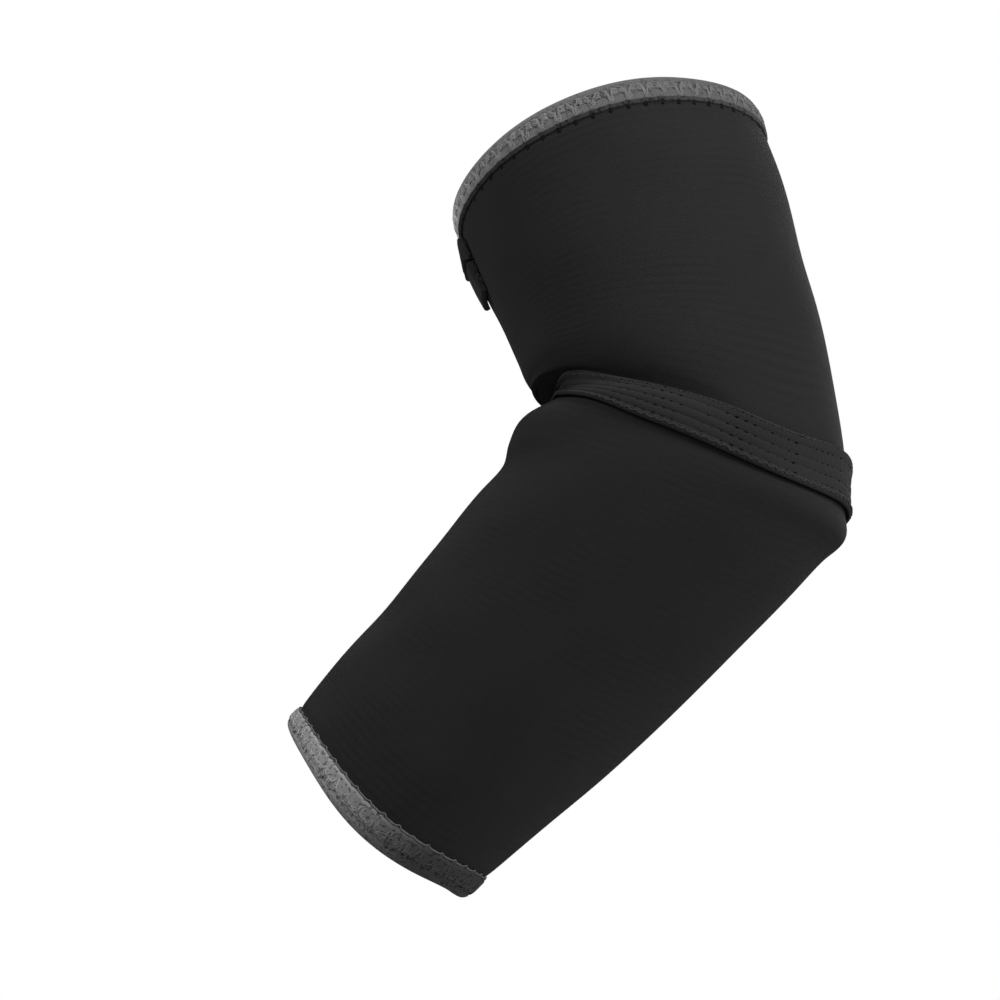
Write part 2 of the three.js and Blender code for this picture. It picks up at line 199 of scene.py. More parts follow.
@dataclass
class SleeveForm:
    """The sleeve's form on the bent arm, which every cloth piece follows.

    A field that ends in turn gives the degrees from the elbow's point between which its effect
    sets in. seam_sag is how far the seam hangs toward the forearm at even turns from the elbow's
    point to the crook, as shares of the band's width. Each of the cloth's uneven waves has its
    share, its count round the arm, its slant in radians for each millimetre and its start.
    """

    seam_slope: float = 16.0
    elbow_width: float = 92.0
    elbow_depth: float = 87.0
    wall: float = 3.0
    clearance: float = 0.3
    band_width: float = 12.5
    fold_depth: float = 5.0
    give: float = 0.16
    squeeze: float = 0.65
    squeeze_spread: float = 22.0
    squeeze_turn: tuple[float, float] = (115.0, 160.0)
    # Limits of the painted shade over the band's fold, as shares of how far within that fold a place
    # is.
    painted_shade_share: tuple[float, float] = (0.2, 0.55)
    upper_rim_bow: float = 3.5
    forearm_rim_bow: float = 3.0
    forearm_bow_skew: float = 1.6
    seam_row: int = 6
    steps_per_section: int = 16
    girth_points: int = 181
    side_taper: float = 3.0
    side_taper_turn: tuple[float, float] = (85.0, 118.0)
    crook_taper: float = 5.5
    crook_taper_turn: tuple[float, float] = (130.0, 152.0)
    seam_sag: tuple[float, ...] = (0.29, 0.51, 0.235, -0.03, 0.1)
    waves: tuple[tuple[float, float, float, float], ...] = (
        (1.0, 3, 0.051, 0.4),
        (1.0, 5, -0.083, 2.1),
        (0.6, 8, 0.14, 4.0),
        (0.5, 2, -0.19, 1.3),
    )
    arms: dict[Arm, ArmLine] = field(
        default_factory=lambda: {
            Arm.UPPER: ArmLine(108.0, 18.0, 96.0, 97.5, 90.0),
            Arm.FORE: ArmLine(225.0, -45.0, 145.5, 71.5, 68.0),
        }
    )

    def __post_init__(self) -> None:
        """Places the sections and measures the middle line."""
        placed = [self.place_section(row) for row in SECTIONS]
        self.fronts = np.array([front for front, _, _ in placed])
        self.backs = np.array([back for _, back, _ in placed])
        self.shapes = np.array([shape for _, _, shape in placed])
        count = self.steps_per_section * (len(SECTIONS) - 1)
        self.shares = np.linspace(0.0, 1.0, count + 1)
        middle = smooth_line((self.fronts + self.backs) / 2, self.shares)
        steps = np.linalg.norm(np.diff(middle, axis=0), axis=1)
        self.reached = np.concatenate([[0.0], np.cumsum(steps)])
        self.length = float(self.reached[-1])
        self.seam_section = float(self.reached[self.seam_row * self.steps_per_section])
        sag = [self.seam_sag[1], *self.seam_sag, self.seam_sag[-2]]
        self.sag_rows = np.array(sag)[:, None] * self.band_width

    def place_section(self, row: Section) -> tuple[np.ndarray, np.ndarray, np.ndarray]:
        """Places one section on its half of the arm.

        Args:
            row: the section.

        Returns:
            The front point, the back point, and the half depth with the egg.
        """
        arm = self.arms[row.arm]
        width = lerp(self.elbow_width, arm.rim_width, row.rim)
        depth = lerp(self.elbow_depth, arm.rim_depth, row.rim) * row.deep
        across = in_bend_plane(lerp(arm.square, -self.seam_slope, row.turn))
        middle = arm.line * row.along * arm.length
        shape = np.array([depth / 2, row.egg])
        return middle - across * row.front * width, middle + across * row.back * width, shape

    def seam_at(self, angle: np.ndarray) -> np.ndarray:
        """Finds where the elbow seam runs.

        Args:
            angle: radians round the arm from the elbow's point.

        Returns:
            The distance at which it crosses each angle.
        """
        row = turned_from_elbow(angle) / math.pi * (len(self.seam_sag) - 1)
        share = (row + 1) / (len(self.sag_rows) - 1)
        return self.seam_section + smooth_line(self.sag_rows, share)[..., 0]

    def band_width_at(self, angle: np.ndarray) -> np.ndarray:
        """The elbow band's width: full as far as the arm's side, then taken in by the crook.

        Args:
            angle: radians round the arm from the elbow's point.

        Returns:
            The width in millimetres at each angle.
        """
        turned = np.degrees(turned_from_elbow(angle))
        by_side = self.side_taper * smoothstep(*self.side_taper_turn, turned)
        by_crook = self.crook_taper * smoothstep(*self.crook_taper_turn, turned)
        return self.band_width - by_side - by_crook

    def within_fold(self, fold: Fold, distance: np.ndarray, angle: np.ndarray) -> np.ndarray:
        """How far each place is within a fold.

        Args:
            fold: the fold.
            distance: millimetres along the sleeve from the upper rim.
            angle: radians round the arm from the elbow's point.

        Returns:
            0 outside the fold to 1 at its middle.
        """
        turned = np.degrees(turned_from_elbow(angle))
        below = (distance - self.seam_at(angle)) / self.band_width
        band_edge = -self.band_width_at(angle) / 2 / self.band_width
        past = below - fold.below - (band_edge if fold.by_band else 0)
        spread = np.where(past < 0, fold.rise, fold.fall)
        aside = (turned - fold.around) / fold.reach
        return np.exp(-((past / spread) ** 2) - aside**2)

    def fold_at(self, distance: np.ndarray, angle: np.ndarray) -> np.ndarray:
        """How deep the folds are at each place."""
        shares = [fold.deep * self.within_fold(fold, distance, angle) for fold in FOLDS]
        return self.fold_depth * sum(shares)

    def painted_shade_at(self, distance: np.ndarray, angle: np.ndarray) -> np.ndarray:
        """Where painted shade darkens the cloth in the fold over the band.

        Args:
            distance: millimetres along the sleeve from the upper rim.
            angle: radians round the arm from the elbow's point.

        Returns:
            0 outside the painted shade to 1 fully in it.
        """
        seam, edge = self.seam_at(angle), self.band_width_at(angle) / 2
        shares = []
        for fold in FOLDS:
            if fold.by_band:
                middle = seam - edge + fold.below * self.band_width
                above = np.where(distance < seam, np.minimum(distance, middle), distance)
                shares.append(self.within_fold(fold, above, angle))
        return smoothstep(*self.painted_shade_share, np.maximum.reduce(shares))

    def plain_face(self, distance: np.ndarray, angle: np.ndarray) -> np.ndarray:
        """Points of the outer face before its folds.

        Args:
            distance: millimetres along the sleeve from the upper rim.
            angle: radians round the arm from the elbow's point.

        Returns:
            The points in millimetres, with x, y and z last.
        """
        within = np.clip(distance, 0.0, self.length)
        share = np.interp(within, self.reached, self.shares)
        front = smooth_line(self.fronts, share)
        back = smooth_line(self.backs, share)
        shape = smooth_line(self.shapes, share)
        side = shape[..., 0] * np.sin(angle) * (1 - shape[..., 1] * np.cos(angle))
        across = ((1 + np.cos(angle)) / 2)[..., None]
        return lerp(front, back, across) + side[..., None] * DEPTHWISE

    def outward(self, face: Callable, distance: np.ndarray, angle: np.ndarray) -> np.ndarray:
        """The outward unit directions of a face, from two short steps over it.

        Args:
            face: a function that gives a face's points from distances and angles.
            distance: millimetres along the sleeve from the upper rim.
            angle: radians round the arm from the elbow's point.

        Returns:
            The directions, with x, y and z last.
        """
        step, turn = 0.4, 0.01
        lengthwise = face(distance + step, angle) - face(distance - step, angle)
        round_it = face(distance, angle + turn) - face(distance, angle - turn)
        normal = np.cross(lengthwise, round_it)
        return normal / np.linalg.norm(normal, axis=-1, keepdims=True)

    def outer_face(self, distance: np.ndarray, angle: np.ndarray) -> np.ndarray:
        """Points of the outer face with its folds.

        Args:
            distance: millimetres along the sleeve from the upper rim.
            angle: radians round the arm from the elbow's point.

        Returns:
            The points in millimetres, with x, y and z last.
        """
        outward = self.outward(self.plain_face, distance, angle)
        depth = self.fold_at(distance, angle)
        return self.plain_face(distance, angle) - outward * depth[..., None]

    def place(self, distance: Any, angle: Any, height: Any) -> np.ndarray:
        """Points at distances along the sleeve, angles round it and heights off the outer face.

        Args:
            distance: millimetres from the upper rim.
            angle: radians from the elbow's point.
            height: millimetres outward, negative inside the wall.

        Returns:
            The points in millimetres, in the shape of the arguments with x, y and z last.
        """
        distance, angle, height = np.broadcast_arrays(
            np.asarray(distance, float), np.asarray(angle, float), np.asarray(height, float)
        )
        rest = self.length - self.seam_section
        to_upper = np.maximum(0.0, 1 - distance / self.seam_section)
        to_forearm = np.maximum(0.0, (distance - self.seam_section) / rest)
        aside = np.sin(angle) ** 2
        skewed = aside * (1 + self.forearm_bow_skew * np.cos(angle))
        upper_bow = self.upper_rim_bow * aside * to_upper**2
        forearm_bow = self.forearm_rim_bow * skewed * to_forearm**2
        points = self.outer_face(distance, angle)
        raised = (height + self.softness(distance, angle))[..., None]
        points = points + self.outward(self.plain_face, distance, angle) * raised
        points = points + self.arms[Arm.UPPER].line * upper_bow[..., None]
        return points + self.arms[Arm.FORE].line * forearm_bow[..., None]

    def softness(self, distance: np.ndarray, angle: np.ndarray) -> np.ndarray:
        """The slight unevenness of soft cloth, as a few broad waves.

        Args:
            distance: millimetres along the sleeve from the upper rim.
            angle: radians round the arm from the elbow's point.

        Returns:
            Millimetres outward at each place.
        """
        return self.give * sum(
            size * np.sin(count * angle + slant * distance + start)
            for size, count, slant, start in self.waves
        )

    def wall_at(self, distance: np.ndarray, angle: np.ndarray) -> np.ndarray:
        """The wall's thickness, which is squeezed where the crook presses it together.

        Args:
            distance: millimetres along the sleeve from the upper rim.
            angle: radians round the arm from the elbow's point.

        Returns:
            The thickness in millimetres at each place.
        """
        turned = np.degrees(turned_from_elbow(angle))
        near = hump(distance - self.seam_at(angle), self.squeeze_spread)
        return self.wall * (1 - self.squeeze * smoothstep(*self.squeeze_turn, turned) * near)

    def girth(self, distance: float) -> float:
        """The outer girth of the sleeve at one distance.

        Args:
            distance: millimetres along the sleeve from the upper rim.

        Returns:
            The girth in millimetres.
        """
        angle = np.linspace(0.0, 2 * math.pi, self.girth_points)
        points = self.place(distance, angle, 0.0)
        return float(np.linalg.norm(np.diff(points, axis=0), axis=1).sum())


def turned_from_elbow(angle: np.ndarray) -> np.ndarray:
    """Angles as 0 at the elbow's point to pi at the crook, the same on both sides."""
    return np.abs(np.mod(angle + math.pi, 2 * math.pi) - math.pi)


@dataclass
class Wiring:
    """Adds nodes to one tree and joins their sockets."""

    tree: bpy.types.NodeTree

    def add(self, kind: str, *values: Any, **settings: Any) -> bpy.types.Node:
        """A new node.

        Args:
            kind: the node's type name.
            values: for each input in order, a socket to join, a constant, or None to leave it.
            settings: properties that are set on the node before its inputs.

        Returns:
            The node.
        """
        node = self.tree.nodes.new(kind)
        for name, value in settings.items():
            setattr(node, name, value)
        inputs = [socket for socket in node.inputs if socket.enabled]
        for socket, value in zip(inputs, values):
            self.give(socket, value)
        return node

    def give(self, socket: bpy.types.NodeSocket, value: Any) -> None:
        """Joins a socket to another one, or sets its constant.

        Args:
            socket: the input.
            value: a socket, a constant, or None to leave it.
        """
        if isinstance(value, bpy.types.NodeSocket):
            self.tree.links.new(value, socket)
        elif value is not None:
            socket.default_value = value

    def math(self, operation: str, *values: Any) -> bpy.types.NodeSocket:
        """The result of one sum on numbers."""
        return self.add("ShaderNodeMath", *values, operation=operation).outputs[0]

    def vector(self, x: Any, y: Any, z: Any = 0.0) -> bpy.types.NodeSocket:
        """A vector of three numbers."""
        return self.add("ShaderNodeCombineXYZ", x, y, z).outputs[0]

    def mix(self, share: Any, start: Any, end: Any) -> bpy.types.NodeSocket:
        """A number between two others."""
        return self.add("ShaderNodeMix", share, start, end).outputs[0]

    def wave(self, value: Any, sharpness: float) -> bpy.types.NodeSocket:
        """A row of even ridges, one for each whole number of a value."""
        sine = self.math("ABSOLUTE", self.math("SINE", self.math("MULTIPLY", value, math.pi)))
        return self.math("POWER", sine, sharpness)


def new_group(name: str, kind: str, inputs: dict[str, Any], outputs: dict[str, str]) -> tuple:
    """A node group with named inputs and outputs.

    Args:
        name: the group's name.
        kind: the tree's type name.
        inputs: for each name, a socket type with its default value.
        outputs: for each name, a socket type.

    Returns:
        The wiring of its tree, its inputs by name, and its output node.
    """
    tree = bpy.data.node_groups.new(name, kind)
    for label, (socket_type, default) in inputs.items():
        socket = tree.interface.new_socket(name=label, in_out="INPUT", socket_type=socket_type)
        if default is not None:
            socket.default_value = default
    for label, socket_type in outputs.items():
        tree.interface.new_socket(name=label, in_out="OUTPUT", socket_type=socket_type)
    wiring = Wiring(tree)
    given = tree.nodes.new("NodeGroupInput").outputs
    return wiring, {label: given[label] for label in inputs}, tree.nodes.new("NodeGroupOutput")


FLOAT, INTEGER, VECTOR = "NodeSocketFloat", "NodeSocketInt", "NodeSocketVector"
COLOUR, GEOMETRY, MATERIAL = "NodeSocketColor", "NodeSocketGeometry", "NodeSocketMaterial"


@dataclass
class FinishKit:
    """The shader node groups that the finishes share, each built once.

    A higher sharpness makes a pattern's ridges narrower. A slant is how far a stitch or a ply leans
    over its own width, and a noise count is how many patches of noise fit in a metre.
    """

    stitch_slant: float = 1.2
    loop_sharpness: float = 0.7
    column_sharpness: float = 0.5
    between_columns: float = 0.25
    cord_sharpness: float = 0.6
    yarn_sharpness: float = 0.8
    ply_slant: float = 2.0
    ply_sharpness: float = 0.6
    speck_count: float = 900.0
    speck_range: tuple[float, float] = (0.56, 0.64)
    line_sharpness: float = 0.8
    sway_count: float = 70.0
    cover_count: float = 45.0
    cover_range: tuple[float, float] = (0.4, 0.65)
    least_cover: float = 0.15

    def __post_init__(self) -> None:
        """Builds the groups."""
        self.knit = self.build_knit()
        self.mottle = self.build_mottle()
        self.ribs = self.build_ribs()
        self.ply = self.build_ply()
        self.lines = self.build_lines()
        self.fade = self.build_rim_shading()

    def build_knit(self) -> bpy.types.NodeTree:
        """Jersey: columns of V stitches, by counts of columns round the arm and courses along it.

        Returns:
            The group, which puts out the stitches' height.
        """
        wiring, given, out = new_group(
            "jersey knit",
            "ShaderNodeTree",
            {"UV": (VECTOR, None), "Columns": (FLOAT, 300.0), "Courses": (FLOAT, 900.0)},
            {"Height": FLOAT},
        )
        parts = wiring.add("ShaderNodeSeparateXYZ", given["UV"]).outputs
        column = wiring.math("MULTIPLY", parts[0], given["Columns"])
        course = wiring.math("MULTIPLY", parts[1], given["Courses"])
        lean = wiring.math("PINGPONG", column, 0.5)
        slanted = wiring.math("ADD", course, wiring.math("MULTIPLY", lean, self.stitch_slant))
        loops = wiring.wave(slanted, self.loop_sharpness)
        columns = wiring.wave(column, self.column_sharpness)
        raised = wiring.math("ADD", columns, self.between_columns)
        height = wiring.math("MULTIPLY", loops, raised)
        wiring.give(out.inputs[0], height)
        return wiring.tree

    def build_mottle(self) -> bpy.types.NodeTree:
        """Uneven dye and lint: broad soft patches, fine flecks, and their mask.

        Returns:
            The group, which puts out the uneven colour and the mask.
        """
        wiring, given, out = new_group(
            "cloth mottle",
            "ShaderNodeTree",
            {
                "Colour": (COLOUR, None),
                "Patch size": (FLOAT, 40.0),
                "Fleck size": (FLOAT, 1500.0),
                "Patches": (FLOAT, 0.2),
                "Flecks": (FLOAT, 0.2),
                "Specks": (FLOAT, 0.0),
            },
            {"Colour": COLOUR, "Mask": FLOAT},
        )
        where = wiring.add("ShaderNodeTexCoord").outputs["Object"]
        patches = wiring.add("ShaderNodeTexNoise", where, given["Patch size"], 3.0).outputs[0]
        flecks = wiring.add("ShaderNodeTexNoise", where, given["Fleck size"], 2.0).outputs[0]
        broad = wiring.math("MULTIPLY", wiring.math("SUBTRACT", patches, 0.5), given["Patches"])
        fine = wiring.math("MULTIPLY", wiring.math("SUBTRACT", flecks, 0.5), given["Flecks"])
        change = wiring.math("ADD", wiring.math("ADD", broad, fine), 1.0)
        dots = wiring.add("ShaderNodeTexNoise", where, self.speck_count, 1.0).outputs[0]
        speck = wiring.add("ShaderNodeMapRange", dots, *self.speck_range, 0.0, 1.0).outputs[0]
        kept = wiring.math("SUBTRACT", 1.0, wiring.math("MULTIPLY", speck, given["Specks"]))
        change = wiring.math("MULTIPLY", change, kept)
        tinted = wiring.add("ShaderNodeVectorMath", given["Colour"], operation="SCALE")
        wiring.give(tinted.inputs["Scale"], change)
        wiring.give(out.inputs[0], tinted.outputs[0])
        wiring.give(out.inputs[1], flecks)
        return wiring.tree

    def build_ribs(self) -> bpy.types.NodeTree:
        """Narrow woven tape: cords across it with fine yarns over them.

        Returns:
            The group, which puts out the cords' height.
        """
        wiring, given, out = new_group(
            "woven ribs",
            "ShaderNodeTree",
            {"UV": (VECTOR, None), "Cords": (FLOAT, 300.0), "Yarns": (FLOAT, 900.0)},
            {"Height": FLOAT},
        )
        parts = wiring.add("ShaderNodeSeparateXYZ", given["UV"]).outputs
        cord = wiring.math("MULTIPLY", parts[0], given["Cords"])
        yarn = wiring.math("MULTIPLY", parts[1], given["Yarns"])
        every_other = wiring.math("MULTIPLY", wiring.math("FLOOR", cord), 0.5)
        cords = wiring.wave(cord, self.cord_sharpness)
        yarns = wiring.wave(wiring.math("ADD", yarn, every_other), self.yarn_sharpness)
        wiring.give(out.inputs[0], wiring.math("MULTIPLY", cords, yarns))
        return wiring.tree

    def build_ply(self) -> bpy.types.NodeTree:
        """Twisted thread: slanting plies from the run along it and the turn round it.

        Returns:
            The group, which puts out the plies' height.
        """
        wiring, given, out = new_group(
            "thread ply",
            "ShaderNodeTree",
            {"Run": (FLOAT, 0.0), "Turn": (FLOAT, 0.0), "Twist": (FLOAT, 6.0)},
            {"Height": FLOAT},
        )
        run = wiring.math("MULTIPLY", given["Run"], given["Twist"])
        lean = wiring.math("MULTIPLY", given["Turn"], self.ply_slant)
        slanted = wiring.math("ADD", run, lean)
        wiring.give(out.inputs[0], wiring.wave(slanted, self.ply_sharpness))
        return wiring.tree

    def build_lines(self) -> bpy.types.NodeTree:
        """Faint darker course lines round the arm, which come and go over the cloth.

        Returns:
            The group, which puts out a shade to multiply by.
        """
        wiring, given, out = new_group(
            "course lines",
            "ShaderNodeTree",
            {"UV": (VECTOR, None), "Lines": (FLOAT, 400.0), "Depth": (FLOAT, 0.1)},
            {"Shade": FLOAT},
        )
        run = wiring.add("ShaderNodeSeparateXYZ", given["UV"]).outputs[1]
        where = wiring.add("ShaderNodeTexCoord").outputs["Object"]
        sway = wiring.add("ShaderNodeTexNoise", where, self.sway_count, 2.0).outputs[0]
        cover = wiring.add("ShaderNodeTexNoise", where, self.cover_count, 2.0).outputs[0]
        line = wiring.math("ADD", wiring.math("MULTIPLY", run, given["Lines"]), sway)
        dark = wiring.math("SUBTRACT", 1.0, wiring.wave(line, self.line_sharpness))
        limits = (*self.cover_range, self.least_cover, 1.0)
        seen = wiring.add("ShaderNodeMapRange", cover, *limits).outputs[0]
        amount = wiring.math("MULTIPLY", wiring.math("MULTIPLY", dark, seen), given["Depth"])
        wiring.give(out.inputs[0], wiring.math("SUBTRACT", 1.0, amount))
        return wiring.tree

    def build_rim_shading(self) -> bpy.types.NodeTree:
        """Painted shade across a rim: what is left of a colour, from all of it on the crook's side.

        Returns:
            The group, which puts out a shade to multiply by.
        """
        wiring, given, out = new_group(
            "rim fade",
            "ShaderNodeTree",
            {
                "Left over": (FLOAT, 0.2),
                "Reach": (FLOAT, 0.03),
                "Across": (VECTOR, None),
                "Delay": (FLOAT, 1.0),
            },
            {"Shade": FLOAT},
        )
        where = wiring.add("ShaderNodeTexCoord").outputs["Object"]
        aside = wiring.add("ShaderNodeVectorMath", where, given["Across"], operation="DOT_PRODUCT")
        near = wiring.math("MULTIPLY", given["Reach"], -1.0)
        share = wiring.add(
            "ShaderNodeMapRange", aside.outputs["Value"], near, given["Reach"], 0.0, 1.0
        ).outputs[0]
        late = wiring.math("POWER", share, given["Delay"])
        wiring.give(out.inputs[0], wiring.math("POWER", given["Left over"], late))
        return wiring.tree

    def place(self, wiring: Wiring, group: bpy.types.NodeTree, *values: Any) -> bpy.types.Node:
        """Puts one of the groups in a material's tree.

        Args:
            wiring: the wiring of the tree.
            group: the group.
            values: a socket or a constant for each input, in order.

        Returns:
            The group's node.
        """
        node = wiring.tree.nodes.new("ShaderNodeGroup")
        node.node_tree = group
        for socket, value in zip(node.inputs, values):
            wiring.give(socket, value)
        return node


class Relief(Enum):
    """The surface that a finish has."""

    KNIT = "knit"
    RIBS = "ribs"
    PLY = "ply"


@dataclass(frozen=True)
class RimShade:
    """Painted shade that darkens a colour across a rim, from the crook's side to the elbow's.

    left is the share of the colour that is left at the elbow's side, toward the direction across
    the rim in degrees, and reach how far it goes each way in metres. A higher delay keeps more of
    the colour as far as the middle.
    """

    left: float
    toward: float
    reach: float
    delay: float


@dataclass(frozen=True)
class Finish:
    """One cloth or thread finish, with linear colours.

    across and along are how often its relief repeats over the piece's own map, and for a thread
    across is its twist. height is the relief's in millimetres, and the valley shade is the painted
    shade of its hollows.
    specks, lines and the painted shade amount are how much darker dark specks, course lines and
    painted shade in folds are.
    patch_count and fleck_count are how many patches and flecks fit in a metre.
    """

    name: str
    colour: tuple[float, float, float, float]
    relief: Relief
    across: float
    along: float
    height: float
    roughness: float = 0.9
    specular: float = 0.15
    sheen: float = 0.03
    sheen_roughness: float = 0.45
    valley_shade: float = 0.55
    patches: float = 0.25
    flecks: float = 0.3
    specks: float = 0.0
    lines: float = 0.0
    painted_shade_amount: float = 0.0
    patch_count: float = 40.0
    fleck_count: float = 1500.0
    line_count: float = 417.0
    fade: RimShade | None = None

    def build(self, kit: FinishKit) -> bpy.types.Material:
        """Makes the material, with painted shade that makes its hollows darker than its ridges.

        Args:
            kit: the shader groups that the finishes share.

        Returns:
            The material.
        """
        material = bpy.data.materials.new(self.name)
        material.use_nodes = True
        wiring = Wiring(material.node_tree)
        shader = material.node_tree.nodes["Principled BSDF"]
        shader.inputs["Roughness"].default_value = self.roughness
        shader.inputs["Specular IOR Level"].default_value = self.specular
        shader.inputs["Sheen Weight"].default_value = self.sheen
        shader.inputs["Sheen Roughness"].default_value = self.sheen_roughness
        height = self.relief_height(kit, wiring)
        amounts = (self.patches, self.flecks, self.specks)
        counts = (self.patch_count, self.fleck_count)
        mottle = kit.place(wiring, kit.mottle, self.colour, *counts, *amounts)
        # Painted shade in the hollows of the relief.
        shade = wiring.mix(height, self.valley_shade, 1.0)
        if self.lines:
            uv = wiring.add("ShaderNodeUVMap", uv_map="cloth").outputs[0]
            line = kit.place(wiring, kit.lines, uv, self.line_count, self.lines).outputs[0]
            shade = wiring.math("MULTIPLY", shade, line)
        # Painted shade: darkens the colour where the piece marks the fold by the band.
        if self.painted_shade_amount:
            painted_shade = wiring.add("ShaderNodeAttribute", attribute_name="painted_shade").outputs["Fac"]
            shade = wiring.math("MULTIPLY", shade, wiring.mix(painted_shade, 1.0, 1 - self.painted_shade_amount))
        # Painted shade across the rim, darker toward the elbow's side.
        if self.fade:
            across = tuple(in_bend_plane(self.fade.toward))
            given = (self.fade.left, self.fade.reach, across, self.fade.delay)
            left = kit.place(wiring, kit.fade, *given).outputs[0]
            shade = wiring.math("MULTIPLY", shade, left)
        shaded = wiring.add("ShaderNodeVectorMath", mottle.outputs[0], operation="SCALE")
        wiring.give(shaded.inputs["Scale"], shade)
        wiring.give(shader.inputs["Base Color"], shaded.outputs[0])
        bump = wiring.tree.nodes.new("ShaderNodeBump")
        bump.inputs["Strength"].default_value = 1.0
        bump.inputs["Distance"].default_value = self.height * MM
        wiring.give(bump.inputs["Height"], height)
        wiring.give(shader.inputs["Normal"], bump.outputs[0])
        return material

    def relief_height(self, kit: FinishKit, wiring: Wiring) -> bpy.types.NodeSocket:
        """Adds the finish's relief to a material's tree.

        Args:
            kit: the shader groups that the finishes share.
            wiring: the wiring of the tree.

        Returns:
            The socket that gives its height from 0 to 1.
        """
        if self.relief is Relief.PLY:
            run = wiring.add("ShaderNodeAttribute", attribute_name="thread_run").outputs["Fac"]
            turn = wiring.add("ShaderNodeAttribute", attribute_name="thread_turn").outputs["Fac"]
            return kit.place(wiring, kit.ply, run, turn, self.across).outputs[0]
        uv = wiring.add("ShaderNodeUVMap", uv_map="cloth").outputs[0]
        group = kit.knit if self.relief is Relief.KNIT else kit.ribs
        return kit.place(wiring, group, uv, self.across, self.along).outputs[0]


# Painted shade across each rim on the tapes and their threads, darker toward the elbow's side.
UPPER_RIM_SHADE = RimShade(left=0.2, toward=18.0, reach=0.045, delay=0.35)
FOREARM_RIM_SHADE = RimShade(left=0.14, toward=-45.0, reach=0.03, delay=4.2)

JERSEY = Finish(
    name="black jersey",
    colour=(0.0155, 0.0155, 0.016, 1.0),
    relief=Relief.KNIT,
    across=420.0,
    along=1400.0,
    height=0.05,
    specular=0.1,
    valley_shade=0.75,
    lines=0.2,
    # Painted shade in the fold above the band.
    painted_shade_amount=0.24,
)
LINING = Finish(
    name="black lining",
    colour=(0.02, 0.02, 0.0205, 1.0),
    relief=Relief.KNIT,
    across=260.0,
    along=900.0,
    height=0.2,
)
ELASTIC = Finish(
    name="black elastic",
    colour=(0.0205, 0.0205, 0.021, 1.0),
    relief=Relief.RIBS,
    across=420.0,
    along=1500.0,
    height=0.08,
    # Painted shade on the band where it turns into the crook's fold.
    painted_shade_amount=0.55,
)
# Painted shadow: a near-black finish on the band's lower edge stands for the shadow line under it.
BAND_SHADOW_LINE = Finish(
    name="black painted_shadow lip",
    colour=(0.003, 0.003, 0.003, 1.0),
    relief=Relief.RIBS,
    across=420.0,
    along=1500.0,
    height=0.1,
    specular=0.05,
    sheen=0.0,
)
GREY_TAPE = Finish(
    name="grey tape",
    colour=(0.45, 0.45, 0.454, 1.0),
    relief=Relief.RIBS,
    across=400.0,
    along=1600.0,
    height=0.06,
    valley_shade=0.8,
    specks=0.3,
    fade=UPPER_RIM_SHADE,
)
FOREARM_TAPE = replace(
    GREY_TAPE,
    name="grey forearm tape",
    colour=(0.28, 0.28, 0.283, 1.0),
    specks=0.6,
    fade=FOREARM_RIM_SHADE,
)
FRAYED_EDGE = replace(
    GREY_TAPE, name="frayed tape edge", colour=(0.05, 0.05, 0.051, 1.0), specks=0.6, fade=None
)
SATIN = Finish(
    name="black satin tape",
    colour=(0.0075, 0.0075, 0.008, 1.0),
    relief=Relief.RIBS,
    across=40.0,
    along=1800.0,
    height=0.05,
    roughness=0.6,
    specular=0.2,
)
GREY_THREAD = Finish(
    name="grey thread",
    colour=(0.72, 0.72, 0.725, 1.0),
    relief=Relief.PLY,
    across=5.0,
    along=0.0,
    height=0.05,
    roughness=0.6,
    fade=UPPER_RIM_SHADE,
)
WISP_THREAD = replace(GREY_THREAD, name="fine grey thread", colour=(0.6, 0.6, 0.605, 1.0))
FOREARM_THREAD = replace(
    GREY_THREAD,
    name="grey forearm thread",
    colour=(0.35, 0.35, 0.354, 1.0),
    fade=FOREARM_RIM_SHADE,
)
EDGE_THREAD = replace(
    GREY_THREAD, name="grey edge thread", colour=(0.15, 0.15, 0.152, 1.0), fade=None
)
BLACK_THREAD = Finish(
    name="black thread",
    colour=(0.034, 0.034, 0.035, 1.0),
    relief=Relief.PLY,
    across=5.0,
    along=0.0,
    height=0.05,
    roughness=0.6,
)
# Painted shade: near-black beads stand for the shade in small dents beside the upper tape.
STITCH_DENT_SHADE = Finish(
    name="cloth sunk under a stitch",
    colour=(0.0075, 0.0075, 0.008, 1.0),
    relief=Relief.PLY,
    across=1.0,
    along=0.0,
    height=0.0,
    specular=0.05,
)
NEEDLE_HOLE = Finish(
    name="needle hole",
    colour=(0.003, 0.003, 0.003, 1.0),
    relief=Relief.PLY,
    across=1.0,
    along=0.0,
    height=0.0,
    sheen=0.0,
    specular=0.0,
)


@dataclass
class Wardrobe:
    """The materials of the sleeve, each made on first use."""

    kit: FinishKit = field(default_factory=FinishKit)
    made: dict[str, bpy.types.Material] = field(default_factory=dict)

    def get(self, finish: Finish) -> bpy.types.Material:
        """Looks up the material of a finish.

        Args:
            finish: the finish.

        Returns:
            The material, which is made when it is first asked for.
        """
        if finish.name not in self.made:
            self.made[finish.name] = finish.build(self.kit)
        return self.made[finish.name]


@dataclass(frozen=True)
class Thread:
    """One thread that swings between two shares of a strip's width as it goes round.

    low and high are those shares. lean slants each swing by a share of a stitch, phase moves the
    thread along by a share of a stitch, lift is its height over the cloth at the middle of a
    swing, and sink how far it goes below the cloth at the ends, in millimetres. A higher sharpness
    narrows the swing to a spike. wobble roughens the thread's line by a share of the width, and
    uneven shortens or lengthens each swing by up to a share of itself.
    """

    low: float
    high: float
    radius: float
    lift: float = 0.15
    sink: float = 0.35
    lean: float = 0.0
    phase: float = 0.0
    sharpness: float = 1.0
    wobble: float = 0.0
    uneven: float = 0.0
    seed: int = 0


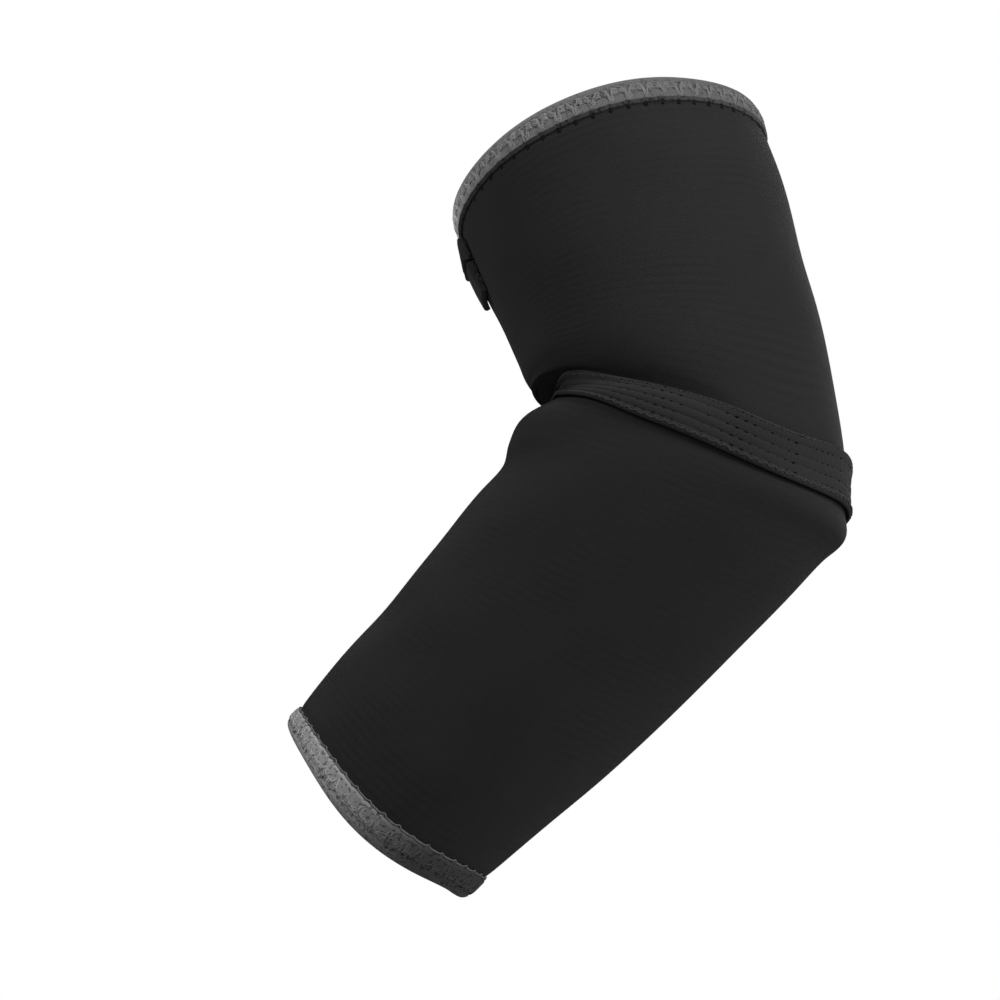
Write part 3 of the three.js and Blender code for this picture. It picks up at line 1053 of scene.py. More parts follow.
@dataclass(frozen=True)
class Bead:
    """A row of beads that stand for needle holes or for painted shade on sunk cloth, as many as its
    count round a strip.

    share is its place across the strip, phase moves it along by a share of a step, and size gives a
    bead's half length along, across and through the strip, in millimetres. uneven shrinks or
    swells each bead by up to a share of itself.
    """

    size: tuple[float, float, float]
    count: int = 1
    share: float = 0.5
    phase: float = 0.0
    uneven: float = 0.7


@dataclass
class NeedleWork:
    """The Geometry Nodes trees that sew threads and needle holes on a strip."""

    wardrobe: Wardrobe
    thread_sides: int = 6
    end_sharpness: float = 6.0
    frizz_seed: int = 99
    frizz_stretch: float = 4.0
    bead_seed: int = 5
    bead_detail: int = 2
    look_ahead: float = 0.002

    def __post_init__(self) -> None:
        """Builds the thread and hole groups."""
        self.thread_group = self.build_thread()
        self.hole_group = self.build_holes()

    def on_strip(self, wiring: Wiring, strip: Any, turn: Any, share: Any, lift: Any) -> Any:
        """Finds a place on a strip and the outward direction there.

        Args:
            wiring: the wiring of the tree.
            strip: the strip's geometry.
            turn: how far round it, 1 for once round.
            share: how far across it.
            lift: how far outward from it, in metres.

        Returns:
            The sockets of the place and of the direction.
        """
        uv = wiring.add("GeometryNodeInputNamedAttribute", "cloth", data_type="FLOAT_VECTOR")
        where = wiring.vector(wiring.math("FRACT", turn), share)
        place, outward = (
            wiring.add(
                "GeometryNodeSampleUVSurface",
                strip,
                wiring.add(kind).outputs[0],
                uv.outputs[0],
                where,
                data_type="FLOAT_VECTOR",
            ).outputs[0]
            for kind in ("GeometryNodeInputPosition", "GeometryNodeInputNormal")
        )
        raised = wiring.add("ShaderNodeVectorMath", outward, operation="SCALE")
        wiring.give(raised.inputs["Scale"], lift)
        total = wiring.add("ShaderNodeVectorMath", place, raised.outputs[0], operation="ADD")
        return total.outputs[0], outward

    def chance(self, wiring: Wiring, each: Any, seed: Any) -> bpy.types.NodeSocket:
        """A number by chance, but always the same for the same item and seed.

        Args:
            wiring: the wiring of the tree.
            each: the socket that numbers the items.
            seed: the seed.

        Returns:
            The socket of a number from -1 to 1.
        """
        node = wiring.add("FunctionNodeRandomValue", data_type="FLOAT")
        given = [socket for socket in node.inputs if socket.enabled]
        for socket, value in zip(given, (-1.0, 1.0, each, seed)):
            wiring.give(socket, value)
        return next(socket for socket in node.outputs if socket.enabled)

    def build_thread(self) -> bpy.types.NodeTree:
        """One closed thread that swings across a strip, as a tube with its run and turn kept.

        Returns:
            The group.
        """
        wiring, given, out = new_group(
            "swinging thread",
            "GeometryNodeTree",
            {
                "Strip": (GEOMETRY, None),
                "Stitches": (INTEGER, 50),
                "Steps": (INTEGER, 12),
                "Low": (FLOAT, 0.3),
                "High": (FLOAT, 0.7),
                "Lean": (FLOAT, 0.0),
                "Phase": (FLOAT, 0.0),
                "Lift": (FLOAT, 0.0002),
                "Sink": (FLOAT, 0.0003),
                "Radius": (FLOAT, 0.0002),
                "Sharpness": (FLOAT, 1.0),
                "Wobble": (FLOAT, 0.0),
                "Unevenness": (FLOAT, 0.0),
                "Seed": (INTEGER, 0),
            },
            {"Thread": GEOMETRY},
        )
        count = wiring.math("MULTIPLY", given["Stitches"], given["Steps"])
        loop = wiring.add("GeometryNodeMeshCircle", count, fill_type="NONE").outputs[0]
        index = wiring.add("GeometryNodeInputIndex").outputs[0]
        cycle = wiring.math("ADD", wiring.math("DIVIDE", index, given["Steps"]), given["Phase"])
        swing = wiring.math("SINE", wiring.math("MULTIPLY", cycle, 2 * math.pi))
        even = wiring.math("ADD", wiring.math("MULTIPLY", swing, 0.5), 0.5)
        spike = wiring.math("POWER", even, given["Sharpness"])
        stitch = wiring.math("FLOOR", wiring.math("ADD", cycle, 0.25))
        change = wiring.math(
            "MULTIPLY", self.chance(wiring, stitch, given["Seed"]), given["Unevenness"]
        )
        share = wiring.math("MULTIPLY", spike, wiring.math("ADD", change, 1.0))
        jitter = self.chance(wiring, index, given["Seed"])
        frizz = self.chance(wiring, index, self.frizz_seed)
        frizz = wiring.math("MULTIPLY", frizz, given["Wobble"])
        leaned = wiring.math("ADD", cycle, wiring.math("MULTIPLY", share, given["Lean"]))
        stretched = wiring.math("MULTIPLY", frizz, self.frizz_stretch)
        leaned = wiring.math("ADD", leaned, stretched)
        turn = wiring.math("DIVIDE", leaned, given["Stitches"])
        straight = wiring.mix(share, given["Low"], given["High"])
        across = wiring.math("ADD", straight, wiring.math("MULTIPLY", jitter, given["Wobble"]))
        ends = wiring.math("POWER", wiring.math("ABSOLUTE", swing), self.end_sharpness)
        lift = wiring.mix(ends, given["Lift"], wiring.math("MULTIPLY", given["Sink"], -1.0))
        place, _ = self.on_strip(wiring, given["Strip"], turn, across, lift)
        moved = wiring.add("GeometryNodeSetPosition", loop, None, place).outputs[0]
        curve = wiring.add("GeometryNodeMeshToCurve", moved).outputs[0]
        length = wiring.add("GeometryNodeSplineParameter").outputs["Length"]
        run = wiring.math("MULTIPLY", length, 1 / MM)
        named = wiring.add("GeometryNodeStoreNamedAttribute", curve, None, "thread_run", run)
        ring = wiring.add("GeometryNodeCurvePrimitiveCircle", self.thread_sides)
        wiring.give(ring.inputs["Radius"], given["Radius"])
        factor = wiring.add("GeometryNodeSplineParameter").outputs["Factor"]
        turned = wiring.add(
            "GeometryNodeStoreNamedAttribute", ring.outputs[0], None, "thread_turn", factor
        )
        tube = wiring.add("GeometryNodeCurveToMesh", named.outputs[0], turned.outputs[0])
        wiring.give(out.inputs[0], tube.outputs[0])
        return wiring.tree

    def build_holes(self) -> bpy.types.NodeTree:
        """A row of small dark needle holes, as flat beads let into the cloth.

        Returns:
            The group.
        """
        wiring, given, out = new_group(
            "needle holes",
            "GeometryNodeTree",
            {
                "Strip": (GEOMETRY, None),
                "Holes": (INTEGER, 50),
                "Place": (FLOAT, 0.5),
                "Phase": (FLOAT, 0.0),
                "Size": (VECTOR, (0.0003, 0.0006, 0.0001)),
                "Unevenness": (FLOAT, 0.0),
            },
            {"Holes": GEOMETRY},
        )
        loop = wiring.add("GeometryNodeMeshCircle", given["Holes"], fill_type="NONE").outputs[0]
        index = wiring.add("GeometryNodeInputIndex").outputs[0]
        turn = wiring.math("DIVIDE", wiring.math("ADD", index, given["Phase"]), given["Holes"])
        change = self.chance(wiring, index, self.bead_seed)
        change = wiring.math("MULTIPLY", change, given["Unevenness"])
        size = wiring.add("ShaderNodeVectorMath", given["Size"], operation="SCALE")
        wiring.give(size.inputs["Scale"], wiring.math("ADD", change, 1.0))
        place, outward = self.on_strip(wiring, given["Strip"], turn, given["Place"], 0.0)
        further = wiring.math("ADD", turn, self.look_ahead)
        ahead, _ = self.on_strip(wiring, given["Strip"], further, given["Place"], 0.0)
        run = wiring.add("ShaderNodeVectorMath", ahead, place, operation="SUBTRACT").outputs[0]
        upright = wiring.add("FunctionNodeAlignRotationToVector", None, None, outward, axis="Z")
        aligned = wiring.add(
            "FunctionNodeAlignRotationToVector",
            upright.outputs[0],
            None,
            run,
            axis="X",
            pivot_axis="Z",
        )
        points = wiring.add("GeometryNodeSetPosition", loop, None, place)
        bead = wiring.add("GeometryNodeMeshIcoSphere", 1.0, self.bead_detail).outputs[0]
        placed = wiring.add(
            "GeometryNodeInstanceOnPoints",
            points.outputs[0],
            None,
            bead,
            None,
            None,
            aligned.outputs[0],
            size.outputs[0],
        )
        real = wiring.add("GeometryNodeRealizeInstances", placed.outputs[0])
        wiring.give(out.inputs[0], real.outputs[0])
        return wiring.tree

    def sew(
        self,
        strip: bpy.types.Object,
        stitches: int,
        steps: int,
        threads: list[tuple[Finish, list[Thread]]],
        holes: list[tuple[Finish, list[Bead]]],
    ) -> bpy.types.Object:
        """Turns a strip into the threads and holes that are sewn on it.

        Args:
            strip: the strip, whose name the result keeps.
            stitches: how many stitches go round.
            steps: how many points each stitch of a thread has.
            threads: each finish with its threads.
            holes: each finish with its rows of beads.

        Returns:
            The mesh of the threads and holes.
        """
        finishes = [finish for finish, _ in threads + holes]
        wiring, given, out = new_group(
            f"{strip.name} needlework",
            "GeometryNodeTree",
            {
                "Strip": (GEOMETRY, None),
                "Stitches": (INTEGER, stitches),
                "Steps": (INTEGER, steps),
                **{finish.name: (MATERIAL, None) for finish in finishes},
            },
            {"Geometry": GEOMETRY},
        )
        joined = wiring.tree.nodes.new("GeometryNodeJoinGeometry")
        for finish, several in threads:
            for thread in several:
                node = wiring.tree.nodes.new("GeometryNodeGroup")
                node.node_tree = self.thread_group
                values = (
                    given["Strip"],
                    given["Stitches"],
                    given["Steps"],
                    thread.low,
                    thread.high,
                    thread.lean,
                    thread.phase,
                    thread.lift * MM,
                    thread.sink * MM,
                    thread.radius * MM,
                    thread.sharpness,
                    thread.wobble,
                    thread.uneven,
                    thread.seed,
                )
                for socket, value in zip(node.inputs, values):
                    wiring.give(socket, value)
                self.finish_part(wiring, node.outputs[0], given[finish.name], joined)
        for finish, rows in holes:
            for row in rows:
                node = wiring.tree.nodes.new("GeometryNodeGroup")
                node.node_tree = self.hole_group
                size = tuple(half * MM for half in row.size)
                values = (given["Strip"], row.count, row.share, row.phase, size, row.uneven)
                for socket, value in zip(node.inputs, values):
                    wiring.give(socket, value)
                self.finish_part(wiring, node.outputs[0], given[finish.name], joined)
        smooth = wiring.add("GeometryNodeSetShadeSmooth", joined.outputs[0]).outputs[0]
        real = wiring.add("GeometryNodeRealizeInstances", smooth).outputs[0]
        wiring.give(out.inputs[0], real)
        modifier = strip.modifiers.new("needlework", "NODES")
        modifier.node_group = wiring.tree
        sockets = {socket.name: socket.identifier for socket in wiring.tree.interface.items_tree}
        for finish in finishes:
            modifier[sockets[finish.name]] = self.wardrobe.get(finish)
        evaluated = strip.evaluated_get(bpy.context.evaluated_depsgraph_get())
        sewn = bpy.data.meshes.new_from_object(evaluated)
        strip.modifiers.remove(modifier)
        strip.data = sewn
        sewn.name = strip.name
        return strip

    def finish_part(self, wiring: Wiring, part: Any, material: Any, joined: Any) -> None:
        """Gives one row of stitches its material and joins it to the rest."""
        dressed = wiring.add("GeometryNodeSetMaterial", part, None, material)
        wiring.tree.links.new(dressed.outputs[0], joined.inputs[0])


def ring_mesh(
    name: str, points: np.ndarray, run: np.ndarray, column_finish: np.ndarray, closed: bool = True
) -> bpy.types.Object:
    """A smooth mesh swept round the arm.

    Args:
        name: the object's name.
        points: millimetres, by angle and then by place on the outline, which runs outward over
            the outer face in increasing distance.
        run: the map's second coordinate of each column, in metres.
        column_finish: the material index of each column.
        closed: whether the outline closes on itself.

    Returns:
        The object, with a map named cloth whose first coordinate is 0 to 1 round the arm.
    """
    around, columns = points.shape[:2]
    faces_across = columns if closed else columns - 1
    rows, places = np.meshgrid(np.arange(around), np.arange(faces_across), indexing="ij")
    next_row, next_place = (rows + 1) % around, (places + 1) % columns
    corners = [(rows, places), (rows, next_place), (next_row, next_place), (next_row, places)]
    faces = np.stack([row * columns + place for row, place in corners], axis=-1).reshape(-1, 4)
    mesh = bpy.data.meshes.new(name)
    mesh.from_pydata((points.reshape(-1, 3) * MM).tolist(), [], faces.tolist())
    mesh.polygons.foreach_set("use_smooth", np.ones(len(faces), bool))
    mesh.polygons.foreach_set("material_index", np.tile(column_finish[:faces_across], around))
    turns = [rows, rows, rows + 1, rows + 1]
    ends = [places, places + 1, places + 1, places]
    run_closed = np.append(run, run[0])
    uv = np.stack(
        [np.stack([turn / around, run_closed[end]], axis=-1) for turn, end in zip(turns, ends)],
        axis=2,
    )
    layer = mesh.uv_layers.new(name="cloth")
    layer.data.foreach_set("uv", uv.reshape(-1).astype(np.float32))
    mesh.validate()
    piece = bpy.data.objects.new(name, mesh)
    bpy.context.scene.collection.objects.link(piece)
    return piece


def store_painted_shade(piece: bpy.types.Object, painted_shade: np.ndarray) -> None:
    """Keeps how far each point of a mesh is in painted shade, for its finish to darken."""
    layer = piece.data.attributes.new("painted_shade", "FLOAT", "POINT")
    layer.data.foreach_set("value", painted_shade.reshape(-1).astype(np.float32))


def guide_strip(
    name: str, points: np.ndarray, share: np.ndarray, outward_by_distance: bool = True
) -> bpy.types.Object:
    """An open strip with a map of 0 to 1 each way, whose faces point outward.

    Args:
        name: the name of the object, which its threads keep.
        points: millimetres, by angle and then by share of the strip's width.
        share: the share of each column.
        outward_by_distance: whether the shares run in increasing distance along the sleeve.

    Returns:
        The strip.
    """
    if not outward_by_distance:
        points, share = points[:, ::-1], share[::-1]
    return ring_mesh(name, points, share, np.zeros(len(share), int), closed=False)


def even_angles(count: int) -> np.ndarray:
    """Even angles round the arm, as a column."""
    return (np.arange(count) / count * 2 * math.pi)[:, None]


@dataclass
class ClothPanel:
    """One panel of padded stretch cloth, with its lining."""

    form: SleeveForm
    node: str
    arm: Arm
    flat: tuple[float, float]
    rows: int
    edge_inset: float = 2.0
    around: int = 288
    corner: float = 0.5
    pinch: float = 0.12
    pinch_from_rim: float = 8.4
    pinch_spread: float = 1.3

    def limits(self, angle: np.ndarray) -> tuple[np.ndarray, np.ndarray]:
        """Where the panel starts and ends.

        Args:
            angle: radians round the arm from the elbow's point.

        Returns:
            Its first and its last distance at each angle.
        """
        seam = self.form.seam_at(angle)
        gap = self.form.clearance / 2
        if self.arm is Arm.UPPER:
            return np.full_like(seam, self.edge_inset), seam - gap
        return seam + gap, np.full_like(seam, self.form.length - self.edge_inset)

    def relief(self, distance: np.ndarray) -> np.ndarray:
        """The slight pinch that the binding's stitches press into the cloth."""
        from_rim = distance if self.arm is Arm.UPPER else self.form.length - distance
        return -self.pinch * hump(from_rim - self.pinch_from_rim, self.pinch_spread)

    def build(self, wardrobe: Wardrobe) -> bpy.types.Object:
        """Makes the panel as one closed shell.

        Args:
            wardrobe: the sleeve's materials.

        Returns:
            The panel.
        """
        angle = even_angles(self.around)
        start, end = self.limits(angle)
        share = np.linspace(0.0, 1.0, self.rows + 1)[None, :]
        inner_share = np.linspace(1.0, 0.0, self.rows // 2 + 1)[None, :]
        corner = self.corner
        outer = lerp(start + corner, end - corner, share)
        inner = lerp(start + corner, end - corner, inner_share)
        distance = np.hstack([start, outer, end, end, inner, start])
        height = np.hstack(
            [
                np.full_like(start, -corner),
                self.relief(outer),
                np.full_like(end, -corner),
                corner - self.form.wall_at(end, angle),
                -self.form.wall_at(inner, angle),
                corner - self.form.wall_at(start, angle),
            ]
        )
        points = self.form.place(distance, angle, height)
        run = distance.mean(axis=0) * MM
        outside = np.arange(distance.shape[1]) < self.rows + 2
        piece = ring_mesh(f"{self.node}_cloth", points, run, np.where(outside, 0, 1))
        # Painted shade over the fold above the band, which the jersey's finish darkens.
        store_painted_shade(piece, self.form.painted_shade_at(distance, angle))
        piece.data.materials.append(wardrobe.get(JERSEY))
        piece.data.materials.append(wardrobe.get(LINING))
        return piece

    def declare(self, piece: bpy.types.Object, on_it: list) -> None:
        """Puts the panel in its node's place and hides that node's imported part.

        Args:
            piece: its finished object.
            on_it: the pieces that are sewn on the panel; not used.
        """
        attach(piece, "root")
        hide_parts(self.node)


@dataclass
class ElbowBand:
    """The ribbed elastic band over the elbow seam, with its stitches.

    Shares are of the band's width, from its upper edge. A field that ends in turn gives the degrees
    from the elbow's point between which its effect sets in. Each lobe has its place and spread.
    Every other row of holes is moved along by hole_step, a share of a stitch.
    """

    form: SleeveForm
    thickness: float = 1.0
    ribs: int = 5
    rib_height: float = 0.32
    rib_squareness: float = 0.45
    edge_share: float = 0.05
    edge_drop: float = 0.5
    swell: float = 0.12
    swells: int = 7
    swell_start: float = 2.0
    gather: float = 0.07
    gathers_per_stitch: int = 4
    lobe_height: float = 0.6
    upper_lobe: tuple[float, float] = (0.12, 0.12)
    lower_lobe: tuple[float, float] = (0.86, 0.1)
    lower_lobe_share: float = 0.5
    lobe_narrowness: int = 8
    sunk: float = 0.75
    sunk_turn: tuple[float, float] = (140.0, 162.0)
    # Painted shade on the band sets in between these degrees toward the crook, sooner at its edges.
    painted_shade_turn: tuple[float, float] = (128.0, 141.0)
    painted_shade_bend: float = 9.0
    # Past this share of the width, the band takes the painted shadow line of its lower edge.
    shadow_line_share: float = 0.975
    around: int = 720
    columns: int = 72
    under_columns: int = 12
    stitches: int = 52
    steps_per_stitch: int = 8
    chevron_phases: tuple[float, float] = (0.1, 0.6)
    chevron: Thread = Thread(
        low=0.86, high=0.915, radius=0.16, sink=0.05, sharpness=0.6, wobble=0.008, uneven=0.3
    )
    edge_thread: Thread = Thread(low=0.03, high=0.08, radius=0.12, sink=0.25, phase=0.1)
    hole: Bead = Bead(size=(0.45, 0.16, 0.1))
    hole_step: float = 0.25
    edge_hole: Bead = Bead(size=(0.4, 0.16, 0.1), share=0.06, phase=0.5)

    def top(self, share: np.ndarray, angle: np.ndarray) -> np.ndarray:
        """The height of the band's outer face.

        Args:
            share: shares of the band's width, from its upper edge.
            angle: radians round the arm from the elbow's point.

        Returns:
            Millimetres over the sleeve's outer face.
        """
        rib = np.abs(np.sin(share * self.ribs * math.pi)) ** self.rib_squareness
        edge = smoothstep(0.0, self.edge_share, np.minimum(share, 1 - share))
        turned = np.degrees(turned_from_elbow(angle))
        sunk = self.sunk * smoothstep(*self.sunk_turn, turned)
        base = self.form.clearance + self.thickness
        swell = self.swell * np.sin(self.swells * angle + self.swell_start)
        swell = swell * np.sin(math.pi * share)
        gather = self.gather * np.sin(self.stitches * self.gathers_per_stitch * angle) * rib
        upper = hump(share - self.upper_lobe[0], self.upper_lobe[1])
        lower = self.lower_lobe_share * hump(share - self.lower_lobe[0], self.lower_lobe[1])
        lobes = self.lobe_height * (upper + lower) * np.cos(angle / 2) ** self.lobe_narrowness
        raised = self.rib_height * rib + swell + gather + lobes - self.edge_drop * (1 - edge)
        return base + raised - sunk * (self.thickness + raised)

    def build(self, wardrobe: Wardrobe) -> bpy.types.Object:
        """Makes the band as one closed ring.

        Args:
            wardrobe: the sleeve's materials.

        Returns:
            The band.
        """
        angle = even_angles(self.around)
        width, seam = self.form.band_width_at(angle), self.form.seam_at(angle)
        over = np.linspace(0.0, 1.0, self.columns + 1)[None, :]
        under = np.linspace(1.0, 0.0, self.under_columns + 1)[None, :]
        share = np.hstack([over, under])
        distance = seam + width * (share - 0.5)
        outer = self.top(np.broadcast_to(over, (self.around, over.shape[1])), angle)
        inner = np.full((self.around, under.shape[1]), self.form.clearance)
        points = self.form.place(distance, angle, np.hstack([outer, inner]))
        run = share[0] * self.form.band_width * MM
        # Painted shadow line on the columns along the band's lower edge.
        lip = (share[0] > self.shadow_line_share).astype(int)
        piece = ring_mesh("elbow_band_elastic", points, run, lip)
        # Painted shade on the band where it dives into the crook's fold, sooner at its edges.
        turned = np.degrees(turned_from_elbow(angle)) + self.painted_shade_bend * (2 * share - 1) ** 2
        store_painted_shade(piece, smoothstep(*self.painted_shade_turn, turned))
        piece.data.materials.append(wardrobe.get(ELASTIC))
        piece.data.materials.append(wardrobe.get(BAND_SHADOW_LINE))
        return piece

    def guide(self) -> bpy.types.Object:
        """Makes a strip over the band that its stitches follow.

        Returns:
            The strip.
        """
        angle = even_angles(self.around // 2)
        share = np.linspace(0.0, 1.0, 3 * self.columns // 2)[None, :]
        distance = self.form.seam_at(angle) + self.form.band_width_at(angle) * (share - 0.5)
        height = self.top(np.broadcast_to(share, distance.shape), angle)
        points = self.form.place(distance, angle, height)
        return guide_strip("band_stitches", points, share[0])

    def sew(self, work: NeedleWork) -> bpy.types.Object:
        """Sews holes in each groove, chevrons above the painted shadow line at the lower edge, and a
        fine upper edge.

        Args:
            work: what sews threads and holes on a strip.

        Returns:
            The stitches.
        """
        count = 2 * self.stitches
        rows = [
            replace(
                self.hole,
                count=count,
                share=groove / self.ribs,
                phase=self.hole_step * ((groove - 1) % 2),
            )
            for groove in range(1, self.ribs)
        ]
        rows.append(replace(self.edge_hole, count=count))
        threads = [
            replace(self.chevron, phase=phase, seed=seed)
            for seed, phase in enumerate(self.chevron_phases)
        ]
        sewn = [(BLACK_THREAD, [*threads, self.edge_thread])]
        return work.sew(self.guide(), count, self.steps_per_stitch, sewn, [(NEEDLE_HOLE, rows)])

    def declare(self, piece: bpy.types.Object, stitches: bpy.types.Object) -> None:
        """Puts the band and its stitches in their node's place and hides the band's imported part.

        Args:
            piece: its finished object.
            stitches: the object of its stitches.
        """
        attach(piece, "root")
        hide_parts("elbow_band")
        girth = self.form.girth(self.form.seam_section)
        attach(stitches, "root")


@dataclass
class RimBinding:
    """The folded grey tape over one rim, with its stitches.

    Places across the tape are millimetres from the rim. Each bundle of upright threads has its
    sharpness and its lean as a share of a stitch.
    """

    form: SleeveForm
    rim: Rim
    width: float = 8.0
    thickness: float = 0.8
    tuck: float = 0.75
    lip: float = 1.0
    lip_height: float = 0.1
    fold_slack: float = 0.6
    pitch: float = 5.2
    scallop: float = 0.35
    scallop_sharpness: int = 4
    strip: float = 2.3
    press: float = 0.16
    press_from: float = 0.3
    press_to: float = 0.5
    puff: float = 0.05
    puff_spread: float = 1.6
    groove: float = 0.22
    groove_spread: float = 0.35
    fray: float = 0.25
    fray_height: float = 0.05
    outer_columns: int = 22
    fold_columns: int = 16
    leg_columns: tuple[int, int, int] = (5, 6, 7)
    steps_per_stitch: int = 12
    guide_columns: int = 60
    guide_reach: float = 1.4
    thread_steps: int = 14
    wisp_place: float = 3.9
    wisp_swings: tuple[float, ...] = (1.3, 0.8, 0.3, -0.2, -0.7, -1.2)
    bundles: tuple[tuple[float, float], ...] = (
        (5.0, -0.12),
        (7.0, 0.08),
        (10.0, -0.05),
        (14.0, 0.03),
        (20.0, -0.02),
    )
    leg_start: float = 2.8
    leg_start_step: float = 0.4
    leg_end: float = 0.5
    leg_end_step: float = 0.2
    first_leg_seed: int = 20

    @property
    def name(self) -> str:
        """The node that this binding stands for."""
        return "upper_binding" if self.rim is Rim.UPPER else "forearm_binding"

    @property
    def tape(self) -> Finish:
        """The tape's finish."""
        return GREY_TAPE if self.rim is Rim.UPPER else FOREARM_TAPE

    @property
    def frayed_columns(self) -> int:
        """How many columns of the mesh the frayed edge covers."""
        return 4 if self.rim is Rim.UPPER else 2

    @property
    def stitches(self) -> int:
        """How many stitches go round the rim."""
        distance = self.distance(self.width / 2)
        return round(self.form.girth(float(distance)) / self.pitch)

    @property
    def guide_width(self) -> float:
        """How far the guide strip reaches from the rim."""
        return self.guide_reach * self.width

    @property
    def fold_radius(self) -> float:
        """The radius of the tape's outer face where it folds over the rim."""
        return self.form.wall / 2 + self.form.clearance + self.thickness

    def distance(self, from_rim: Any) -> Any:
        """The distance along the sleeve of a place given from the rim."""
        start = 0.0 if self.rim is Rim.UPPER else self.form.length
        return start + self.rim.value * np.asarray(from_rim, float)

    def edge(self, angle: np.ndarray) -> np.ndarray:
        """Where the sewn edge lies, drawn in a little at each stitch."""
        drawn = np.maximum(0.0, np.cos(self.stitches * angle)) ** self.scallop_sharpness
        return self.width - self.scallop * drawn

    def top(self, from_rim: np.ndarray, angle: np.ndarray) -> np.ndarray:
        """The height of the tape's outer leg: flat near the rim, pushed down where it is sewn.

        Args:
            from_rim: millimetres from the rim.
            angle: radians round the arm from the elbow's point.

        Returns:
            Millimetres over the sleeve's outer face.
        """
        base = self.form.clearance + self.thickness
        past_strip = from_rim - self.strip
        lip = smoothstep(0.0, self.lip, self.edge(angle) - from_rim)
        sewn = smoothstep(self.strip - self.press_from, self.strip + self.press_to, from_rim)
        between = 1 - np.cos(self.stitches * angle)
        puff = self.puff * sewn * between * hump(past_strip - self.puff_spread, self.puff_spread)
        groove = self.groove * hump(past_strip, self.groove_spread)
        low = self.form.clearance + self.lip_height
        return lerp(low, base - self.press * sewn + puff - groove, lip)

    def build(self, wardrobe: Wardrobe) -> bpy.types.Object:
        """Makes the tape as one closed ring: over the rim, down inside, and back under itself.

        Args:
            wardrobe: the sleeve's materials.

        Returns:
            The tape.
        """
        radius = self.fold_radius
        angle = even_angles(self.stitches * self.steps_per_stitch)
        ones = np.ones_like(angle)
        edge = self.edge(angle)
        outer_share = np.linspace(0.0, 1.0, self.outer_columns)[None, :]
        from_rim = [edge + self.fray, lerp(edge, radius, outer_share)]
        height = [self.fray_height * ones, self.top(from_rim[1], angle)]
        turn = np.linspace(0.0, math.pi, self.fold_columns)[None, 1:]
        from_rim.append(ones * (radius - radius * np.sin(turn)))
        height.append(ones * (radius * np.cos(turn) - self.form.wall / 2))
        tuck = self.width * self.tuck
        inner_fold = radius - self.fold_slack - self.form.clearance
        inside = -self.form.wall - self.form.clearance
        legs = (
            (radius, tuck, inside - self.thickness),
            (tuck, inner_fold, inside),
            (inner_fold, self.width - 2 * self.scallop, self.form.clearance),
        )
        for (start, end, level), count in zip(legs, self.leg_columns):
            places = np.linspace(start, end, count)[None, 1:]
            from_rim.append(ones * places)
            height.append(ones * np.full_like(places, level))
        from_rim, height = np.hstack(from_rim), np.hstack(height)
        points = self.form.place(self.distance(from_rim), angle, height)
        columns = points.shape[1]
        run = np.arange(columns) / columns * 2 * self.width * MM
        finish = (np.arange(columns) < self.frayed_columns).astype(int)
        if self.rim is Rim.UPPER:
            points, run = points[:, ::-1], run[::-1]
            finish = np.roll(finish[::-1], -1)
        piece = ring_mesh(f"{self.name}_tape", points, run, finish)
        piece.data.materials.append(wardrobe.get(self.tape))
        piece.data.materials.append(wardrobe.get(FRAYED_EDGE))
        return piece

    def guide(self) -> bpy.types.Object:
        """Makes a strip over the sewn field, from the rim past the tape's edge.

        Returns:
            The strip.
        """
        angle = even_angles(self.stitches * self.steps_per_stitch // 2)
        share = np.linspace(0.0, 1.0, self.guide_columns)[None, :]
        from_rim = share * self.guide_width + np.zeros_like(angle)
        height = np.where(from_rim < self.edge(angle), self.top(from_rim, angle), 0.0)
        points = self.form.place(self.distance(from_rim), angle, height)
        return guide_strip(f"{self.name}_stitches", points, share[0], self.rim is Rim.UPPER)

    def wisps(self) -> list[Thread]:
        """Fine threads that wander along the middle of the sewn field.

        Returns:
            A thread for each swing.
        """
        reach = self.guide_width
        rough = 0.22 if self.rim is Rim.UPPER else 0.4
        return [
            Thread(
                low=self.wisp_place / reach,
                high=(self.wisp_place + swing) / reach,
                radius=0.16,
                sink=0.12,
                phase=0.6,
                sharpness=0.7,
                wobble=rough / reach,
                uneven=0.6,
                seed=seed,
            )
            for seed, swing in enumerate(self.wisp_swings)
        ]

    def legs(self) -> list[Thread]:
        """Bundles of upright threads that reach to the sewn edge.

        Returns:
            A thread for each bundle.
        """
        reach, edge = self.guide_width, self.width - self.scallop
        rough = 0.2 if self.rim is Rim.UPPER else 0.35
        return [
            Thread(
                low=(self.leg_start + self.leg_start_step * number) / reach,
                high=(edge - self.leg_end - self.leg_end_step * (number % 3)) / reach,
                radius=0.24,
                sink=0.2,
                lean=lean,
                phase=0.25,
                sharpness=sharpness,
                wobble=rough / reach,
                uneven=0.22,
                seed=self.first_leg_seed + number,
            )
            for number, (sharpness, lean) in enumerate(self.bundles)
        ]

    def edge_line(self) -> Thread:
        """The light thread that runs along the tape's sewn edge and dips over it.

        Returns:
            The thread.
        """
        return Thread(
            low=(self.width - 0.05) / self.guide_width,
            high=(self.width + 0.5) / self.guide_width,
            radius=0.17,
            sink=-0.1,
            phase=0.25,
            sharpness=8.0,
            uneven=0.6,
            seed=60,
        )

    def marks(self) -> list[Bead]:
        """Needle holes between the stitches.

        Returns:
            The rows of slits and of dots.
        """
        reach, count = self.guide_width, self.stitches
        slit = Bead(size=(0.14, 0.5, 0.22), count=count, share=3.3 / reach, phase=0.5, uneven=0.6)
        dot = Bead(size=(0.18, 0.16, 0.1), count=count, share=2.4 / reach, phase=0.7, uneven=0.6)
        return [slit, dot]

